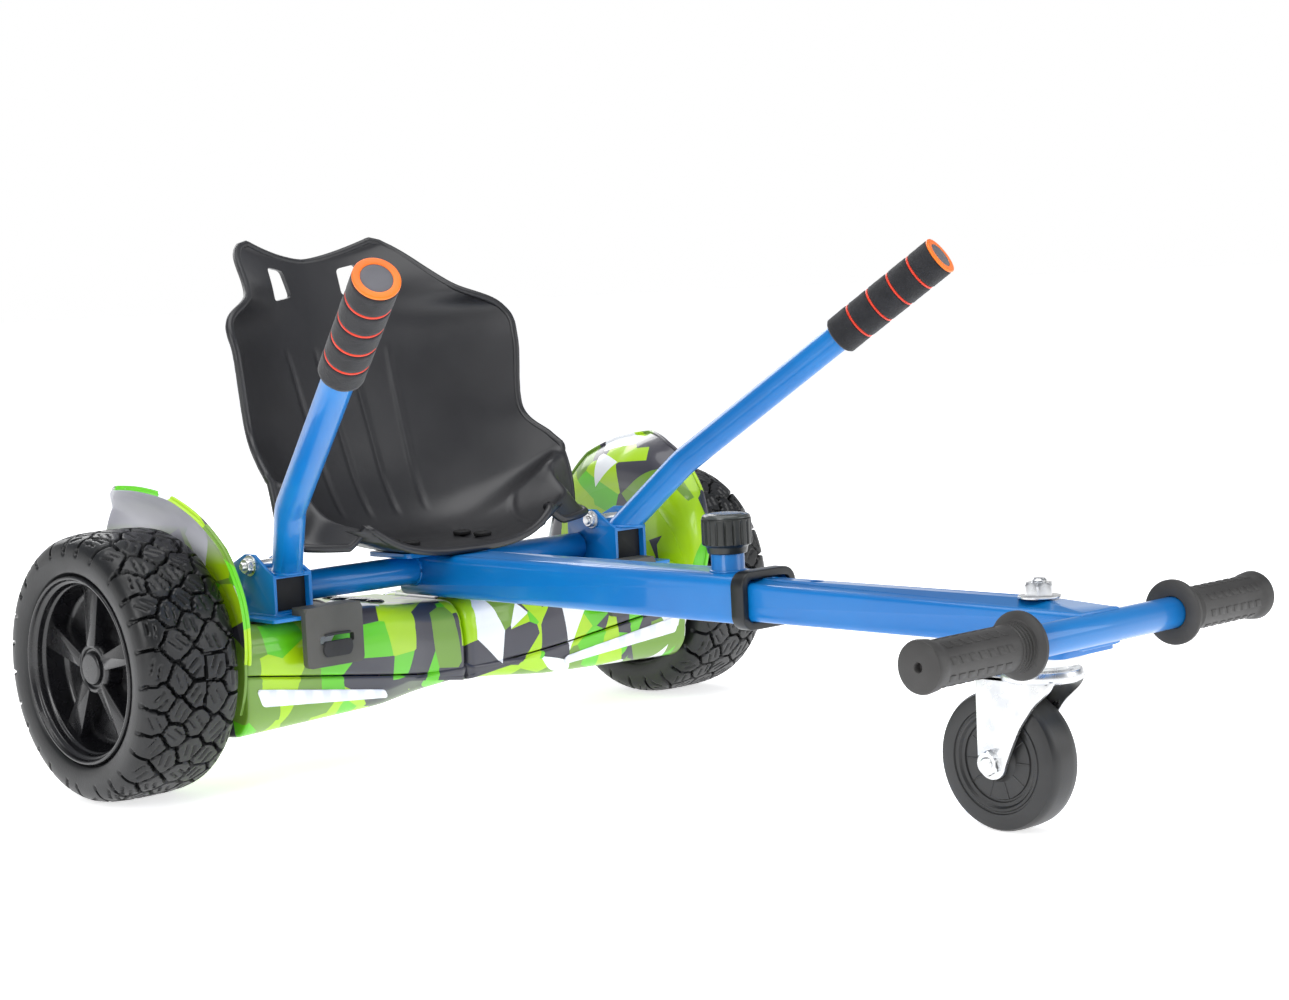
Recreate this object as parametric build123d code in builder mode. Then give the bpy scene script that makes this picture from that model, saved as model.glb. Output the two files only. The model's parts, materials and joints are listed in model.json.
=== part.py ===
"""Self balancing hoverboard with a bolt-on kart seat: two board halves, hub-motor wheels and a kart frame.

Millimetres, +Z up.  The origin is on the ground under the middle of the wheel axle line.
The kart's front, with the castor, points along -Y.  The rider's left is +X.
Every left-hand piece is modelled once and mirrored across the YZ plane for the right hand.
"""

from build123d import *
import os
from math import atan2, cos, radians, sin

os.makedirs("parts", exist_ok=True)

# ---- clearances -------------------------------------------------------------------------------
RUN = 0.05  # radial running clearance of a shaft in its bore
FIT = 0.2  # clearance of a piece seated in another of the same body
GAP = 0.3  # clearance between pieces of different bodies that lie close

# ---- driving dimensions -----------------------------------------------------------------------
BODY_X = 246.0  # outboard end of each board half
KINGPIN_Y = -684.0  # the castor's swivel axis

# ---- drive wheels -----------------------------------------------------------------------------
TYRE_R = 108.0
TYRE_W = 88.0
WHEEL_X = BODY_X + 56.0
TYRE_SHOULDER = 12.0
RIM_R = 76.0
RIM_W = 80.0
RIM_WALL = 5.0
RIM_DISC_OUT = 12.0  # outboard face of the motor's outer cover, from the wheel's middle plane
MOTOR_COVER = 3.0
SPOKES = 5
SPOKE_W = 17.0
SPOKE_RISE = 17.0
CAP_R = 13.0
CAP_RISE = 18.5
AXLE_R = 7.5
AXLE_FLAT = 6.0
BEARING_R = 15.0
BEARING_W = 8.0
STATOR_R = 56.0
STATOR_W = 22.0
STATOR_TEETH = 27
STATOR_CORE_R = 40.0
STATOR_TOOTH = 7.0
STATOR_X = -14.0  # middle of the stator, from the middle plane of the wheel
CUP_WALL = 4.0
HUB_R = 21.0
TYRE_CARCASS = 8.0

# ---- board halves -----------------------------------------------------------------------------
SEAM_X = 1.0  # half the gap between the two halves
WALL = 3.0
BODY_TOP = 134.0
# stations of the casing: x, half depth, bottom z, top z, top corner radius
STATIONS = [
    (SEAM_X, 66.0, 54.0, 126.0, 20.0),
    (45.0, 68.0, 51.0, 128.0, 20.0),
    (95.0, 80.0, 47.0, BODY_TOP, 18.0),
    (BODY_X, 90.0, 44.0, BODY_TOP, 16.0),
]
BOTTOM_RADIUS = 10.0
SPLIT_Z = 62.0  # height of the casing's split line at the middle of the board
SPLIT_SLOPE = 8.0  # degrees that the split line rises outboard

PAD_X0 = 104.0
PAD_X1 = BODY_X - 8.0
PAD_Y = 66.0
PAD_POINT = 30.0
PAD_LIP = 6.0
PAD_T = 2.0
PAD_CORNER = 6.0
OVAL_T = 2.0
OVAL_W = 8.0
OVAL_PITCH = 15.0
OVAL_LENGTHS = [16.0, 38.0, 42.0, 36.0, 18.0]
LED_X0 = 100.0
LED_X1 = BODY_X - 10.0
LED_Z_IN = (58.0, 64.0)  # bottom and top of the strip inboard
LED_Z_OUT = (70.0, 84.0)  # and outboard
LED_DEPTH = 2.0
LED_PROUD = 0.6

CHASSIS_Z = 94.0
CHASSIS_T = 4.0
CHASSIS_Y = 54.0
SHAFT_Z = 92.0
SHAFT_R = 13.0
SHAFT_BORE_R = 9.0
SHAFT_END = 60.0
SADDLE_X1 = BODY_X - 8.0
SADDLE_X0 = SADDLE_X1 - 32.0
SADDLE_Y = 20.0
COLLAR_Y = 19.0
CLAMP_H = 12.0
SCREW_R = 2.5
SCREW_HEAD_R = 4.5
SCREW_HEAD_H = 3.5
CLAMP_SCREWS = [(x, y) for x in (SADDLE_X0 + 6.0, SADDLE_X1 - 6.0) for y in (-14.0, 14.0)]
POST_R = 5.0
POSTS = [(30.0, 44.0), (BODY_X - 20.0, 46.0)]
AXLE_HOLE_R = AXLE_R + 1.5

FENDER_T = 3.0
FENDER_WALL_R = TYRE_R - 16.0
FENDER_CUT = 50.0  # the lowest point of the wall behind the wheel
FENDER_TIP_X = WHEEL_X - 2.0
FENDER_TIP_R = TYRE_R + 33.0
FENDER_MID = (BODY_X + 11.5, TYRE_R + 13.0)
FENDER_ARC = 176.0

BATTERY = (118.0, 76.0, 30.0)
BATTERY_X = 130.0
MAIN_BOARD = (84.0, 66.0, 1.6)
MAIN_BOARD_X = 108.0
GYRO_BOARD = (42.0, 34.0, 1.6)
GYRO_BOARD_X = 178.0
COMPONENT_H = 5.0
STANDOFF_R = 2.5
STANDOFF_H = 4.0
BOARD_STANDOFFS = [(70.0, -28.0), (70.0, 28.0), (146.0, -28.0), (146.0, 28.0), (162.0, -12.0),
    (162.0, 12.0), (194.0, -12.0), (194.0, 12.0)]
PORT_R = 8.0
PORT_HOLE_R = 8.2
PORT_DEPTH = 22.0
SOCKET_R = 6.0
SOCKET_DEPTH = 10.0
PORT_X = 120.0
PORT_Z = 100.0
BUTTON_LENGTH = 16.0

# ---- kart frame -------------------------------------------------------------------------------
BEAM_W = 52.0
BEAM_H = 37.0
BEAM_Z0 = 131.0
BEAM_REAR = -12.0
BEAM_FRONT = -426.0
TUBE_WALL = 2.5
TUBE_CORNER = 8.0
TUBE_SLIDE = 0.3  # clearance all round between the telescoping tubes
INNER_REAR = -236.0
COLLAR_T = 4.0
COLLAR_L = 9.0
KNOB_Y = -387.0
KNOB_R = 19.5
KNOB_H = 31.0
KNOB_SKIRT = 6.0
KNOB_FLUTES = 18
KNOB_FLUTE_R = 1.8
CHAMBER_R = 10.0
BOSS_CAP_T = 2.0
PIN_COLLAR_T = 2.0
SPRING_TURNS = 5
SPRING_R = 7.5
SPRING_WIRE = 0.7
BOSS_R = 13.0
BOSS_H = 14.0
PIN_R = 5.0
HOLE_CLEAR = 0.4
HOLE_STEP = 46.0
HOLE_STEPS = [-2, -1, 0, 1, 2]

PIVOT_Y = -30.0
PIVOT_Z = 154.0
CROSS_R = 12.5
BOLT_R = 5.0
BORE_DEPTH = 28.0
CHEEK_REAR = -16.0
CLAMP_BOLT_R = 4.0
CLAMP_NUT_H = 5.0

BOX_X0 = BODY_X - 76.0
BOX_X1 = BOX_X0 + 38.0
CROSS_HALF = BOX_X0 - 2.0
BOX_FRONT = -80.0
BOX_REAR = -46.0
BOX_H = 33.0
BOX_WALL = 3.0
FOOT_T = 3.0
FOOT_X0 = BOX_X0 - 12.0
FOOT_X1 = BOX_X1 + 14.0
FOOT_FRONT = -98.0
FOOT_REAR = -12.0
CHEEK_TOP = 188.0

LEVER_R = 12.5
LEVER_WALL = 2.0
STRAP_X0 = BOX_X0 - 31.0
STRAP_X1 = BOX_X0 + 26.0
STRAP_REAR = -84.0
STRAP_Z0 = 96.0
STRAP_PAD_T = 6.0
SLOT_L = 34.0
SLOT_H = 7.0
LEVER_BASE = (BOX_X0 + 12.0, -61.0, 160.0)
LEVER_BEND = (BOX_X0 + 48.0, -123.0, 229.0)
LEVER_TOP = (BOX_X0 + 134.0, -358.0, 403.0)
BOLT_Y = LEVER_BASE[1] + LEVER_R - 1.5
BOLT_Z = LEVER_BASE[2] + 19.0
LEVER_BEND_R = 60.0
GRIP_LENGTH = 115.0
GRIP_R = LEVER_R + 5.0
GRIP_RINGS = 4
GRIP_RING_W = 2.0
GRIP_CAP_R = LEVER_R - 0.5
GRIP_RING_PITCH = 23.0
GRIP_RING_DEPTH = 1.5
GRIP_END_T = 2.5
GRIP_PLUG = 12.0

# ---- front axle -------------------------------------------------------------------------------
KINGPIN_R = 6.0
KING_HEAD_R = 11.0
KING_HEAD_H = 6.0
KING_WASHER_R = 15.0
KING_WASHER_T = 2.0
KING_NUT_H = 9.0
KING_TIP = 14.0
T_PLATE_X = 33.0
T_PLATE_REAR = KINGPIN_Y + 30.0
T_PLATE_FRONT = KINGPIN_Y - 40.0
T_PLATE_T = 5.0
PEG_BAR_Y = KINGPIN_Y - 49.0
PEG_BAR_Z = BEAM_Z0 + 16.0
PEG_BAR_R = 11.1
PEG_HALF = 190.0
PEG_FLANGE_X = 85.0
PEG_FLANGE_R = 23.0
PEG_GRIP_R = 16.0
PEG_FLANGE_T = 5.0
PEG_END_T = 4.0
PEG_VENT_R = 3.0
CASTOR_R = 50.0
CASTOR_W = 30.0
CASTOR_Y = KINGPIN_Y + 31.0
CASTOR_PLATE_R = 31.0
CASTOR_PLATE_T = 8.0
CROWN_Z = 108.0
CROWN_R = 29.0
FORK_T = 3.0
FORK_GAP = 2.0
CASTOR_BOLT_R = 6.0
CASTOR_NUT_H = 7.0
LEG_FOOT_R = 12.0

# ---- seat -------------------------------------------------------------------------------------
SEAT_T = 5.0
SEAT_PLATE_T = 4.0
SEAT_PLATE_X = 56.0
SEAT_PLATE_REAR = -6.0
SEAT_PLATE_FRONT = -62.0
SEAT_BOLT_R = 4.0
SEAT_BOLT_LIFT = 1.6
SEAT_BOLT_HEAD = 3.0
SEAT_BOLT_X = 40.0
SEAT_BOLT_Y = (-48.0, -20.0)
SEAT_BASE_Z = BEAM_Z0 + BEAM_H + SEAT_PLATE_T
STRAP_HOLE = (41.0, SEAT_BASE_Z + 235.0)
STRAP_HOLE_SIZE = (24.0, 22.0)
# stations from the front lip to the top: centre y and height, edge y and height above the seat's
# base, half width, edge sharpness
SEAT_STATIONS = [
    (-78.0, 4.0, -66.0, 16.0, 132.0, 3.0),
    (-58.0, 5.0, -56.0, 28.0, 158.0, 3.2),
    (-14.0, 5.0, -38.0, 44.0, 160.0, 3.2),
    (26.0, 14.0, -30.0, 68.0, 164.0, 2.8),
    (54.0, 50.0, -8.0, 86.0, 160.0, 2.4),
    (76.0, 104.0, 20.0, 112.0, 149.0, 2.2),
    (100.0, 164.0, 28.0, 178.0, 152.0, 2.0),
    (123.0, 222.0, 70.0, 232.0, 128.0, 2.0),
    (138.0, 259.0, 126.0, 269.0, 80.0, 2.0),
]
SEAT_SAMPLES = 6  # points on each side of a seat section


def save(part, name):
    """Label a finished piece and write its STEP file."""
    part.label = name
    export_step(part, f"parts/{name}.step")


def save_pair(part, name):
    """Write a left-hand piece and its mirror image for the right hand."""
    save(part, f"left_{name}")
    save(mirror(part, about=Plane.YZ), f"right_{name}")


def along_x(x, y, z):
    """A sketch plane square to the X axis, whose local axes are the world's Y and Z."""
    return Plane(origin=(x, y, z), x_dir=(0, 1, 0), z_dir=(1, 0, 0))


def along_y(y, z=0.0):
    """A sketch plane square to the Y axis that faces the front, with local axes X and Z."""
    return Plane(origin=(0, y, z), x_dir=(1, 0, 0), z_dir=(0, -1, 0))


# ---- casing of a board half -------------------------------------------------------------------
def casing(inset):
    """The solid of a board half, drawn in from its outer faces by inset."""
    with BuildPart() as solid:
        for x, half_depth, z_low, z_high, top_radius in STATIONS:
            ends = {SEAM_X: SEAM_X + inset, BODY_X: BODY_X - inset}
            with BuildSketch(along_x(ends.get(x, x), 0, (z_low + z_high) / 2)) as section:
                Rectangle(2 * (half_depth - inset), z_high - z_low - 2 * inset)
                fillet(section.vertices().group_by(Axis.Y)[-1], top_radius - inset)
                fillet(section.vertices().group_by(Axis.Y)[0], BOTTOM_RADIUS - inset)
        loft(ruled=True)
    return solid.part


def floor_z(x):
    """Height of the underside of the casing at x."""
    for (x_a, _, z_a, _, _), (x_b, _, z_b, _, _) in zip(STATIONS, STATIONS[1:]):
        if x <= x_b:
            return z_a + (z_b - z_a) * (x - x_a) / (x_b - x_a)
    return STATIONS[-1][2]


def pad_outline(z, inset):
    """The foot pad's outline at height z: it comes to a blunt point inboard."""
    shoulder = PAD_X0 + PAD_POINT
    corners = [(PAD_X1, -PAD_Y), (PAD_X1, PAD_Y), (shoulder, PAD_Y), (PAD_X0, 0), (shoulder, -PAD_Y)]
    with BuildSketch(Plane.XY.offset(z)) as outline:
        Polygon(*corners, align=None)
        fillet(outline.vertices(), PAD_CORNER)
        if inset:
            offset(amount=-inset)
    return outline.sketch


def led_outline(margin):
    """The light strip's outline on the casing's front face, which tapers inboard."""
    (x_a, y_a), (x_b, y_b) = [(station[0], station[1]) for station in STATIONS[-2:]]
    slope = (y_b - y_a) / (x_b - x_a)
    face = Plane(origin=(x_a, -y_a, 0), x_dir=(1, -slope, 0), z_dir=(-slope, -1, 0))
    stretch = (1 + slope**2) ** 0.5
    inner = (LED_X0 - x_a) * stretch
    outer = (LED_X1 - x_a) * stretch
    corners = [(inner, LED_Z_IN[0]), (outer, LED_Z_OUT[0]), (outer, LED_Z_OUT[1]), (inner, LED_Z_IN[1])]
    with BuildSketch(face) as outline:
        Polygon(*corners, align=None)
        if margin:
            offset(amount=margin, kind=Kind.INTERSECTION)
    return outline.sketch


casing_outer = casing(0)
casing_inner = casing(WALL)
split_tilt = radians(SPLIT_SLOPE)
split_plane = Plane(
    origin=(0, 0, SPLIT_Z),
    x_dir=(cos(split_tilt), 0, sin(split_tilt)),
    z_dir=(-sin(split_tilt), 0, cos(split_tilt)),
)

with BuildPart() as upper_shell:
    add(casing_outer)
    add(casing_inner, mode=Mode.SUBTRACT)
    split(bisect_by=split_plane, keep=Keep.TOP)
    extrude(pad_outline(BODY_TOP - WALL - 1, PAD_LIP), amount=WALL + 2, mode=Mode.SUBTRACT)
    with BuildSketch(along_x(BODY_X - WALL - 1, 0, TYRE_R)):
        Circle(AXLE_HOLE_R)
    extrude(amount=WALL + 2, mode=Mode.SUBTRACT)
    with BuildSketch(along_x(0, 0, SHAFT_Z)):
        Circle(SHAFT_R + 1)
    extrude(amount=SEAM_X + WALL + 1, mode=Mode.SUBTRACT)
    with BuildSketch(along_y(STATIONS[-1][1], PORT_Z)):
        with Locations((PORT_X, 0)):
            Circle(PORT_HOLE_R)
    extrude(amount=PORT_DEPTH, mode=Mode.SUBTRACT)
save_pair(upper_shell.part, "upper_shell")

with BuildPart() as lower_shell:
    add(casing_outer)
    add(casing_inner, mode=Mode.SUBTRACT)
    split(bisect_by=split_plane, keep=Keep.BOTTOM)
    extrude(led_outline(FIT), amount=-LED_DEPTH, mode=Mode.SUBTRACT)
    with BuildSketch(along_x(BODY_X - WALL - 1, 0, TYRE_R)):
        Circle(AXLE_HOLE_R)
    extrude(amount=WALL + 2, mode=Mode.SUBTRACT)
    for post_x, post_y in POSTS:
        with BuildSketch(Plane.XY.offset(floor_z(post_x) + WALL / 2)):
            with Locations((post_x, post_y), (post_x, -post_y)):
                Circle(POST_R)
        extrude(amount=CHASSIS_Z - floor_z(post_x) - WALL / 2)
save_pair(lower_shell.part, "lower_shell")

with BuildPart() as foot_pad:
    extrude(pad_outline(BODY_TOP, 0), amount=PAD_T)
    extrude(pad_outline(BODY_TOP, PAD_LIP + FIT), amount=-WALL)
    (x_a, _, _, z_a, _), (x_b, _, _, z_b, _) = STATIONS[1:3]
    slope_angle = atan2(z_b - z_a, x_b - x_a)
    slope_plane = Plane(
        origin=((x_a + x_b) / 2, 0, (z_a + z_b) / 2 + RUN),
        x_dir=(cos(slope_angle), 0, sin(slope_angle)),
        z_dir=(-sin(slope_angle), 0, cos(slope_angle)),
    )
    with BuildSketch(slope_plane):
        for row, length in enumerate(OVAL_LENGTHS):
            with Locations((0, (row - (len(OVAL_LENGTHS) - 1) / 2) * OVAL_PITCH)):
                SlotOverall(length, OVAL_W)
    extrude(amount=OVAL_T)
save_pair(foot_pad.part, "foot_pad")

with BuildPart() as led_strip:
    extrude(led_outline(0), amount=LED_PROUD)
    extrude(led_outline(0), amount=-(LED_DEPTH - RUN))
save_pair(led_strip.part, "led_strip")

with BuildPart() as fender:
    with BuildSketch(along_x(BODY_X, 0, TYRE_R)):
        Circle(FENDER_WALL_R)
        with Locations((0, FENDER_CUT - TYRE_R - FENDER_WALL_R)):
            Rectangle(2 * FENDER_WALL_R, 2 * FENDER_WALL_R, mode=Mode.SUBTRACT)
        Circle(AXLE_HOLE_R, mode=Mode.SUBTRACT)
    extrude(amount=FENDER_T)
    with BuildSketch(Plane.XZ) as flare:
        mid_x, mid_r = FENDER_MID
        tip = (FENDER_TIP_X, TYRE_R + FENDER_TIP_R)
        root = (BODY_X, TYRE_R + FENDER_WALL_R - FENDER_T)
        inner_tip = (FENDER_TIP_X + 1, TYRE_R + FENDER_TIP_R - FENDER_T)
        inner_root = (BODY_X + FENDER_T, root[1])
        with BuildLine():
            ThreePointArc(root, (mid_x, TYRE_R + mid_r), tip)
            Line(tip, inner_tip)
            ThreePointArc(inner_tip, (mid_x + 2.4, TYRE_R + mid_r - 2.2), inner_root)
            Line(inner_root, root)
        make_face()
    wheel_axis = Axis((0, 0, TYRE_R), (1, 0, 0))
    turned = flare.sketch.rotate(wheel_axis, -FENDER_ARC / 2)
    revolve(turned, axis=wheel_axis, revolution_arc=FENDER_ARC)
save_pair(fender.part, "fender")

# ---- frame and electrics inside a board half --------------------------------------------------
chassis_x0 = SEAM_X + WALL + 1
chassis_x1 = BODY_X - WALL - 1
chassis_top = CHASSIS_Z + CHASSIS_T
with BuildPart() as chassis:
    with BuildSketch(Plane.XY.offset(CHASSIS_Z)):
        with Locations(((chassis_x0 + chassis_x1) / 2, 0)):
            Rectangle(chassis_x1 - chassis_x0, 2 * CHASSIS_Y)
    extrude(amount=CHASSIS_T)
    with BuildSketch(along_x(chassis_x0, 0, SHAFT_Z)):
        Rectangle(2 * COLLAR_Y, 2 * COLLAR_Y)
    extrude(amount=SHAFT_END - chassis_x0)
    with BuildSketch(along_x(chassis_x0, 0, SHAFT_Z)):
        Circle(SHAFT_R + RUN)
    extrude(amount=SHAFT_END - chassis_x0, mode=Mode.SUBTRACT)
    with BuildSketch(Plane.XY.offset(chassis_top)):
        with Locations(((SADDLE_X0 + SADDLE_X1) / 2, 0)):
            Rectangle(SADDLE_X1 - SADDLE_X0, 2 * SADDLE_Y)
    extrude(amount=TYRE_R - chassis_top)
    with BuildSketch(along_x(SADDLE_X0 - 1, 0, TYRE_R)):
        Circle(AXLE_R + RUN)
    extrude(amount=SADDLE_X1 - SADDLE_X0 + 2, mode=Mode.SUBTRACT)
    with BuildSketch(Plane.XY.offset(CHASSIS_Z)):
        with Locations(*CLAMP_SCREWS):
            Circle(SCREW_R + RUN)
    extrude(amount=TYRE_R - CHASSIS_Z, mode=Mode.SUBTRACT)
    with BuildSketch(Plane.XY.offset(chassis_top)):
        with Locations(*BOARD_STANDOFFS):
            Circle(STANDOFF_R)
    extrude(amount=STANDOFF_H)
save_pair(chassis.part, "chassis")

with BuildPart() as axle_clamp:
    with BuildSketch(Plane.XY.offset(TYRE_R)):
        with Locations(((SADDLE_X0 + SADDLE_X1) / 2, 0)):
            Rectangle(SADDLE_X1 - SADDLE_X0, 2 * SADDLE_Y)
        with Locations(*CLAMP_SCREWS):
            Circle(SCREW_R + RUN, mode=Mode.SUBTRACT)
    extrude(amount=CLAMP_H)
    with BuildSketch(along_x(SADDLE_X0 - 1, 0, TYRE_R)):
        Circle(AXLE_R + RUN)
    extrude(amount=SADDLE_X1 - SADDLE_X0 + 2, mode=Mode.SUBTRACT)

with BuildPart() as clamp_screws:
    with BuildSketch(Plane.XY.offset(CHASSIS_Z)):
        with Locations(*CLAMP_SCREWS):
            Circle(SCREW_R)
    extrude(amount=TYRE_R + CLAMP_H - CHASSIS_Z)
    with BuildSketch(Plane.XY.offset(TYRE_R + CLAMP_H)):
        with Locations(*CLAMP_SCREWS):
            Circle(SCREW_HEAD_R)
    extrude(amount=SCREW_HEAD_H)
save_pair(Compound(children=[axle_clamp.part, clamp_screws.part]), "axle_clamp")

with BuildPart() as central_shaft:
    with BuildSketch(along_x(SEAM_X, 0, SHAFT_Z)):
        Circle(SHAFT_R)
        Circle(SHAFT_BORE_R, mode=Mode.SUBTRACT)
    extrude(amount=SHAFT_END - SEAM_X)
save(central_shaft.part, "central_shaft")

board_z = chassis_top + STANDOFF_H
with BuildPart() as main_board:
    length, width, thickness = MAIN_BOARD
    with BuildSketch(Plane.XY.offset(board_z)):
        with Locations((MAIN_BOARD_X, 0)):
            RectangleRounded(length, width, 3)
    extrude(amount=thickness)
    with BuildSketch(Plane.XY.offset(board_z + thickness)):
        with GridLocations(24, 22, 3, 2):
            with Locations((MAIN_BOARD_X, 0)):
                Rectangle(12, 10)
    extrude(amount=COMPONENT_H)
save(main_board.part, "main_board")

with BuildPart() as gyro_board:
    length, width, thickness = GYRO_BOARD
    with BuildSketch(Plane.XY.offset(board_z)):
        with Locations((GYRO_BOARD_X, 0)):
            RectangleRounded(length, width, 3)
    extrude(amount=thickness)
    with BuildSketch(Plane.XY.offset(board_z + thickness)):
        with Locations((GYRO_BOARD_X, 0)):
            Rectangle(14, 14)
    extrude(amount=COMPONENT_H)
save_pair(gyro_board.part, "gyro_board")

with BuildPart() as battery_pack:
    length, width, height = BATTERY
    with BuildSketch(Plane.XY.offset(CHASSIS_Z - height)):
        with Locations((-BATTERY_X, 0)):
            RectangleRounded(length, width, 9)
    extrude(amount=height)
save(battery_pack.part, "battery_pack")

port_mouth_y = STATIONS[-1][1] - 4
with BuildPart() as charge_port:
    with BuildSketch(along_y(port_mouth_y, PORT_Z)):
        with Locations((PORT_X, 0)):
            Circle(PORT_R)
    extrude(amount=PORT_DEPTH)
    with BuildSketch(along_y(port_mouth_y, PORT_Z)):
        with Locations((PORT_X, 0)):
            Circle(SOCKET_R)
    extrude(amount=SOCKET_DEPTH, mode=Mode.SUBTRACT)
save(charge_port.part, "charge_port")

with BuildPart() as power_button:
    with BuildSketch(along_y(port_mouth_y, PORT_Z)):
        with Locations((-PORT_X, 0)):
            Circle(PORT_HOLE_R - GAP)
    extrude(amount=BUTTON_LENGTH)
    fillet(power_button.edges().group_by(Axis.Y)[-1], 1.5)
save(power_button.part, "power_button")

# ---- drive wheel ------------------------------------------------------------------------------
def ring(points):
    """Turn a closed profile of (distance outboard of the wheel's middle, radius) about the axle."""
    with BuildPart() as body:
        with BuildSketch(Plane(origin=(WHEEL_X, 0, TYRE_R), x_dir=(1, 0, 0), z_dir=(0, -1, 0))):
            Polygon(*points, align=None)
        revolve(axis=Axis((0, 0, TYRE_R), (1, 0, 0)))
    return body.part


half_w = TYRE_W / 2
tyre_outer = [
    (-half_w + 6, RIM_R + FIT),
    (-half_w, RIM_R + 12),
    (-half_w, TYRE_R - TYRE_SHOULDER),
    (-half_w + 4, TYRE_R - 4),
    (-half_w + TYRE_SHOULDER, TYRE_R),
]
tyre_inner = [
    (-half_w + TYRE_CARCASS + 8, RIM_R + FIT),
    (-half_w + TYRE_CARCASS, RIM_R + 12),
    (-half_w + TYRE_CARCASS + 6, TYRE_R - TYRE_CARCASS),
]
right_outer = [(-t, r) for t, r in reversed(tyre_outer)]
right_inner = [(-t, r) for t, r in tyre_inner]
save_pair(ring(tyre_outer + right_outer + right_inner + list(reversed(tyre_inner))), "tyre")

half_rim = RIM_W / 2
cup_r = BEARING_R + CUP_WALL
cup_in = RIM_DISC_OUT - MOTOR_COVER - BEARING_W - 1
drum_r = RIM_R - RIM_WALL
drum = ring([
    (-half_rim, RIM_R),
    (half_rim, RIM_R),
    (half_rim, RIM_R - 2.5),
    (RIM_DISC_OUT, RIM_R - RIM_WALL - 2),
    (RIM_DISC_OUT, 0),
    (RIM_DISC_OUT - MOTOR_COVER, 0),
    (RIM_DISC_OUT - MOTOR_COVER, BEARING_R + RUN),
    (cup_in, BEARING_R + RUN),
    (cup_in, cup_r),
    (RIM_DISC_OUT - MOTOR_COVER, cup_r),
    (RIM_DISC_OUT - MOTOR_COVER, drum_r),
    (-half_rim, drum_r),
])
cover_out = -half_rim + 6
inner_cover = ring([
    (cover_out - MOTOR_COVER, BEARING_R + RUN),
    (cover_out - MOTOR_COVER, drum_r - RUN),
    (cover_out, drum_r - RUN),
    (cover_out, cup_r),
    (cover_out + BEARING_W - MOTOR_COVER, cup_r),
    (cover_out + BEARING_W - MOTOR_COVER, BEARING_R + RUN),
])
with BuildPart() as rim:
    add(drum)
    with BuildSketch(along_x(WHEEL_X + RIM_DISC_OUT, 0, TYRE_R)):
        Circle(HUB_R)
        with PolarLocations((HUB_R + drum_r) / 2 - 2, SPOKES, start_angle=90):
            Rectangle(drum_r - HUB_R + 2, SPOKE_W)
    extrude(amount=SPOKE_RISE)
    with BuildSketch(along_x(WHEEL_X + RIM_DISC_OUT, 0, TYRE_R)):
        Circle(CAP_R)
    extrude(amount=CAP_RISE)
    add(inner_cover)
save_pair(rim.part, "rim")

axle_end = RIM_DISC_OUT - MOTOR_COVER - 0.5
with BuildPart() as axle:
    with BuildSketch(along_x(SADDLE_X0, 0, TYRE_R)):
        Circle(AXLE_R)
    extrude(amount=WHEEL_X + axle_end - SADDLE_X0)
    with BuildSketch(along_x(SADDLE_X0, 0, TYRE_R)):
        with Locations((0, AXLE_FLAT + 5), (0, -AXLE_FLAT - 5)):
            Rectangle(4 * AXLE_R, 10)
    extrude(amount=SADDLE_X1 - SADDLE_X0, mode=Mode.SUBTRACT)
save_pair(axle.part, "axle")

with BuildPart() as wheel_bearings:
    for start in (cup_in + 1, cover_out - MOTOR_COVER):
        with BuildSketch(along_x(WHEEL_X + start, 0, TYRE_R)):
            Circle(BEARING_R)
            Circle(AXLE_R + RUN, mode=Mode.SUBTRACT)
        extrude(amount=BEARING_W - 0.5)
save_pair(wheel_bearings.part, "wheel_bearings")

with BuildPart() as stator:
    with BuildSketch(along_x(WHEEL_X + STATOR_X - STATOR_W / 2, 0, TYRE_R)):
        Circle(STATOR_CORE_R)
        with PolarLocations((STATOR_CORE_R + STATOR_R) / 2 - 1, STATOR_TEETH):
            Rectangle(STATOR_R - STATOR_CORE_R + 2, STATOR_TOOTH)
        Circle(AXLE_R + RUN, mode=Mode.SUBTRACT)
    extrude(amount=STATOR_W)
save_pair(stator.part, "stator")

# ---- lever arms and their brackets ------------------------------------------------------------
box_z0 = BODY_TOP + PAD_T + FOOT_T
box_z1 = box_z0 + BOX_H
box_mid_x = (BOX_X0 + BOX_X1) / 2
lever_start = Vector(*LEVER_BASE)
lever_bend = Vector(*LEVER_BEND)
lever_top = Vector(*LEVER_TOP)
lever_dir = (lever_top - lever_bend).normalized()


def lever_rod(radius, bore):
    """The bent lever tube, cut off flush with the top of its bracket's box."""
    with BuildPart() as rod:
        with BuildLine():
            FilletPolyline(lever_start, lever_bend, lever_top, radius=LEVER_BEND_R)
        with BuildSketch(Plane(origin=lever_start, z_dir=lever_bend - lever_start)):
            Circle(radius)
            if bore:
                Circle(bore, mode=Mode.SUBTRACT)
        sweep()
        split(bisect_by=Plane.XY.offset(box_z1), keep=Keep.TOP)
    return rod.part


def along_lever(distance):
    """A plane square to the lever's upper run, at a distance below its top end."""
    return Plane(origin=lever_top - lever_dir * distance, z_dir=lever_dir)


save_pair(lever_rod(LEVER_R, LEVER_R - LEVER_WALL), "lever_tube")
lever_clearance = lever_rod(LEVER_R + FIT, 0)

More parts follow.
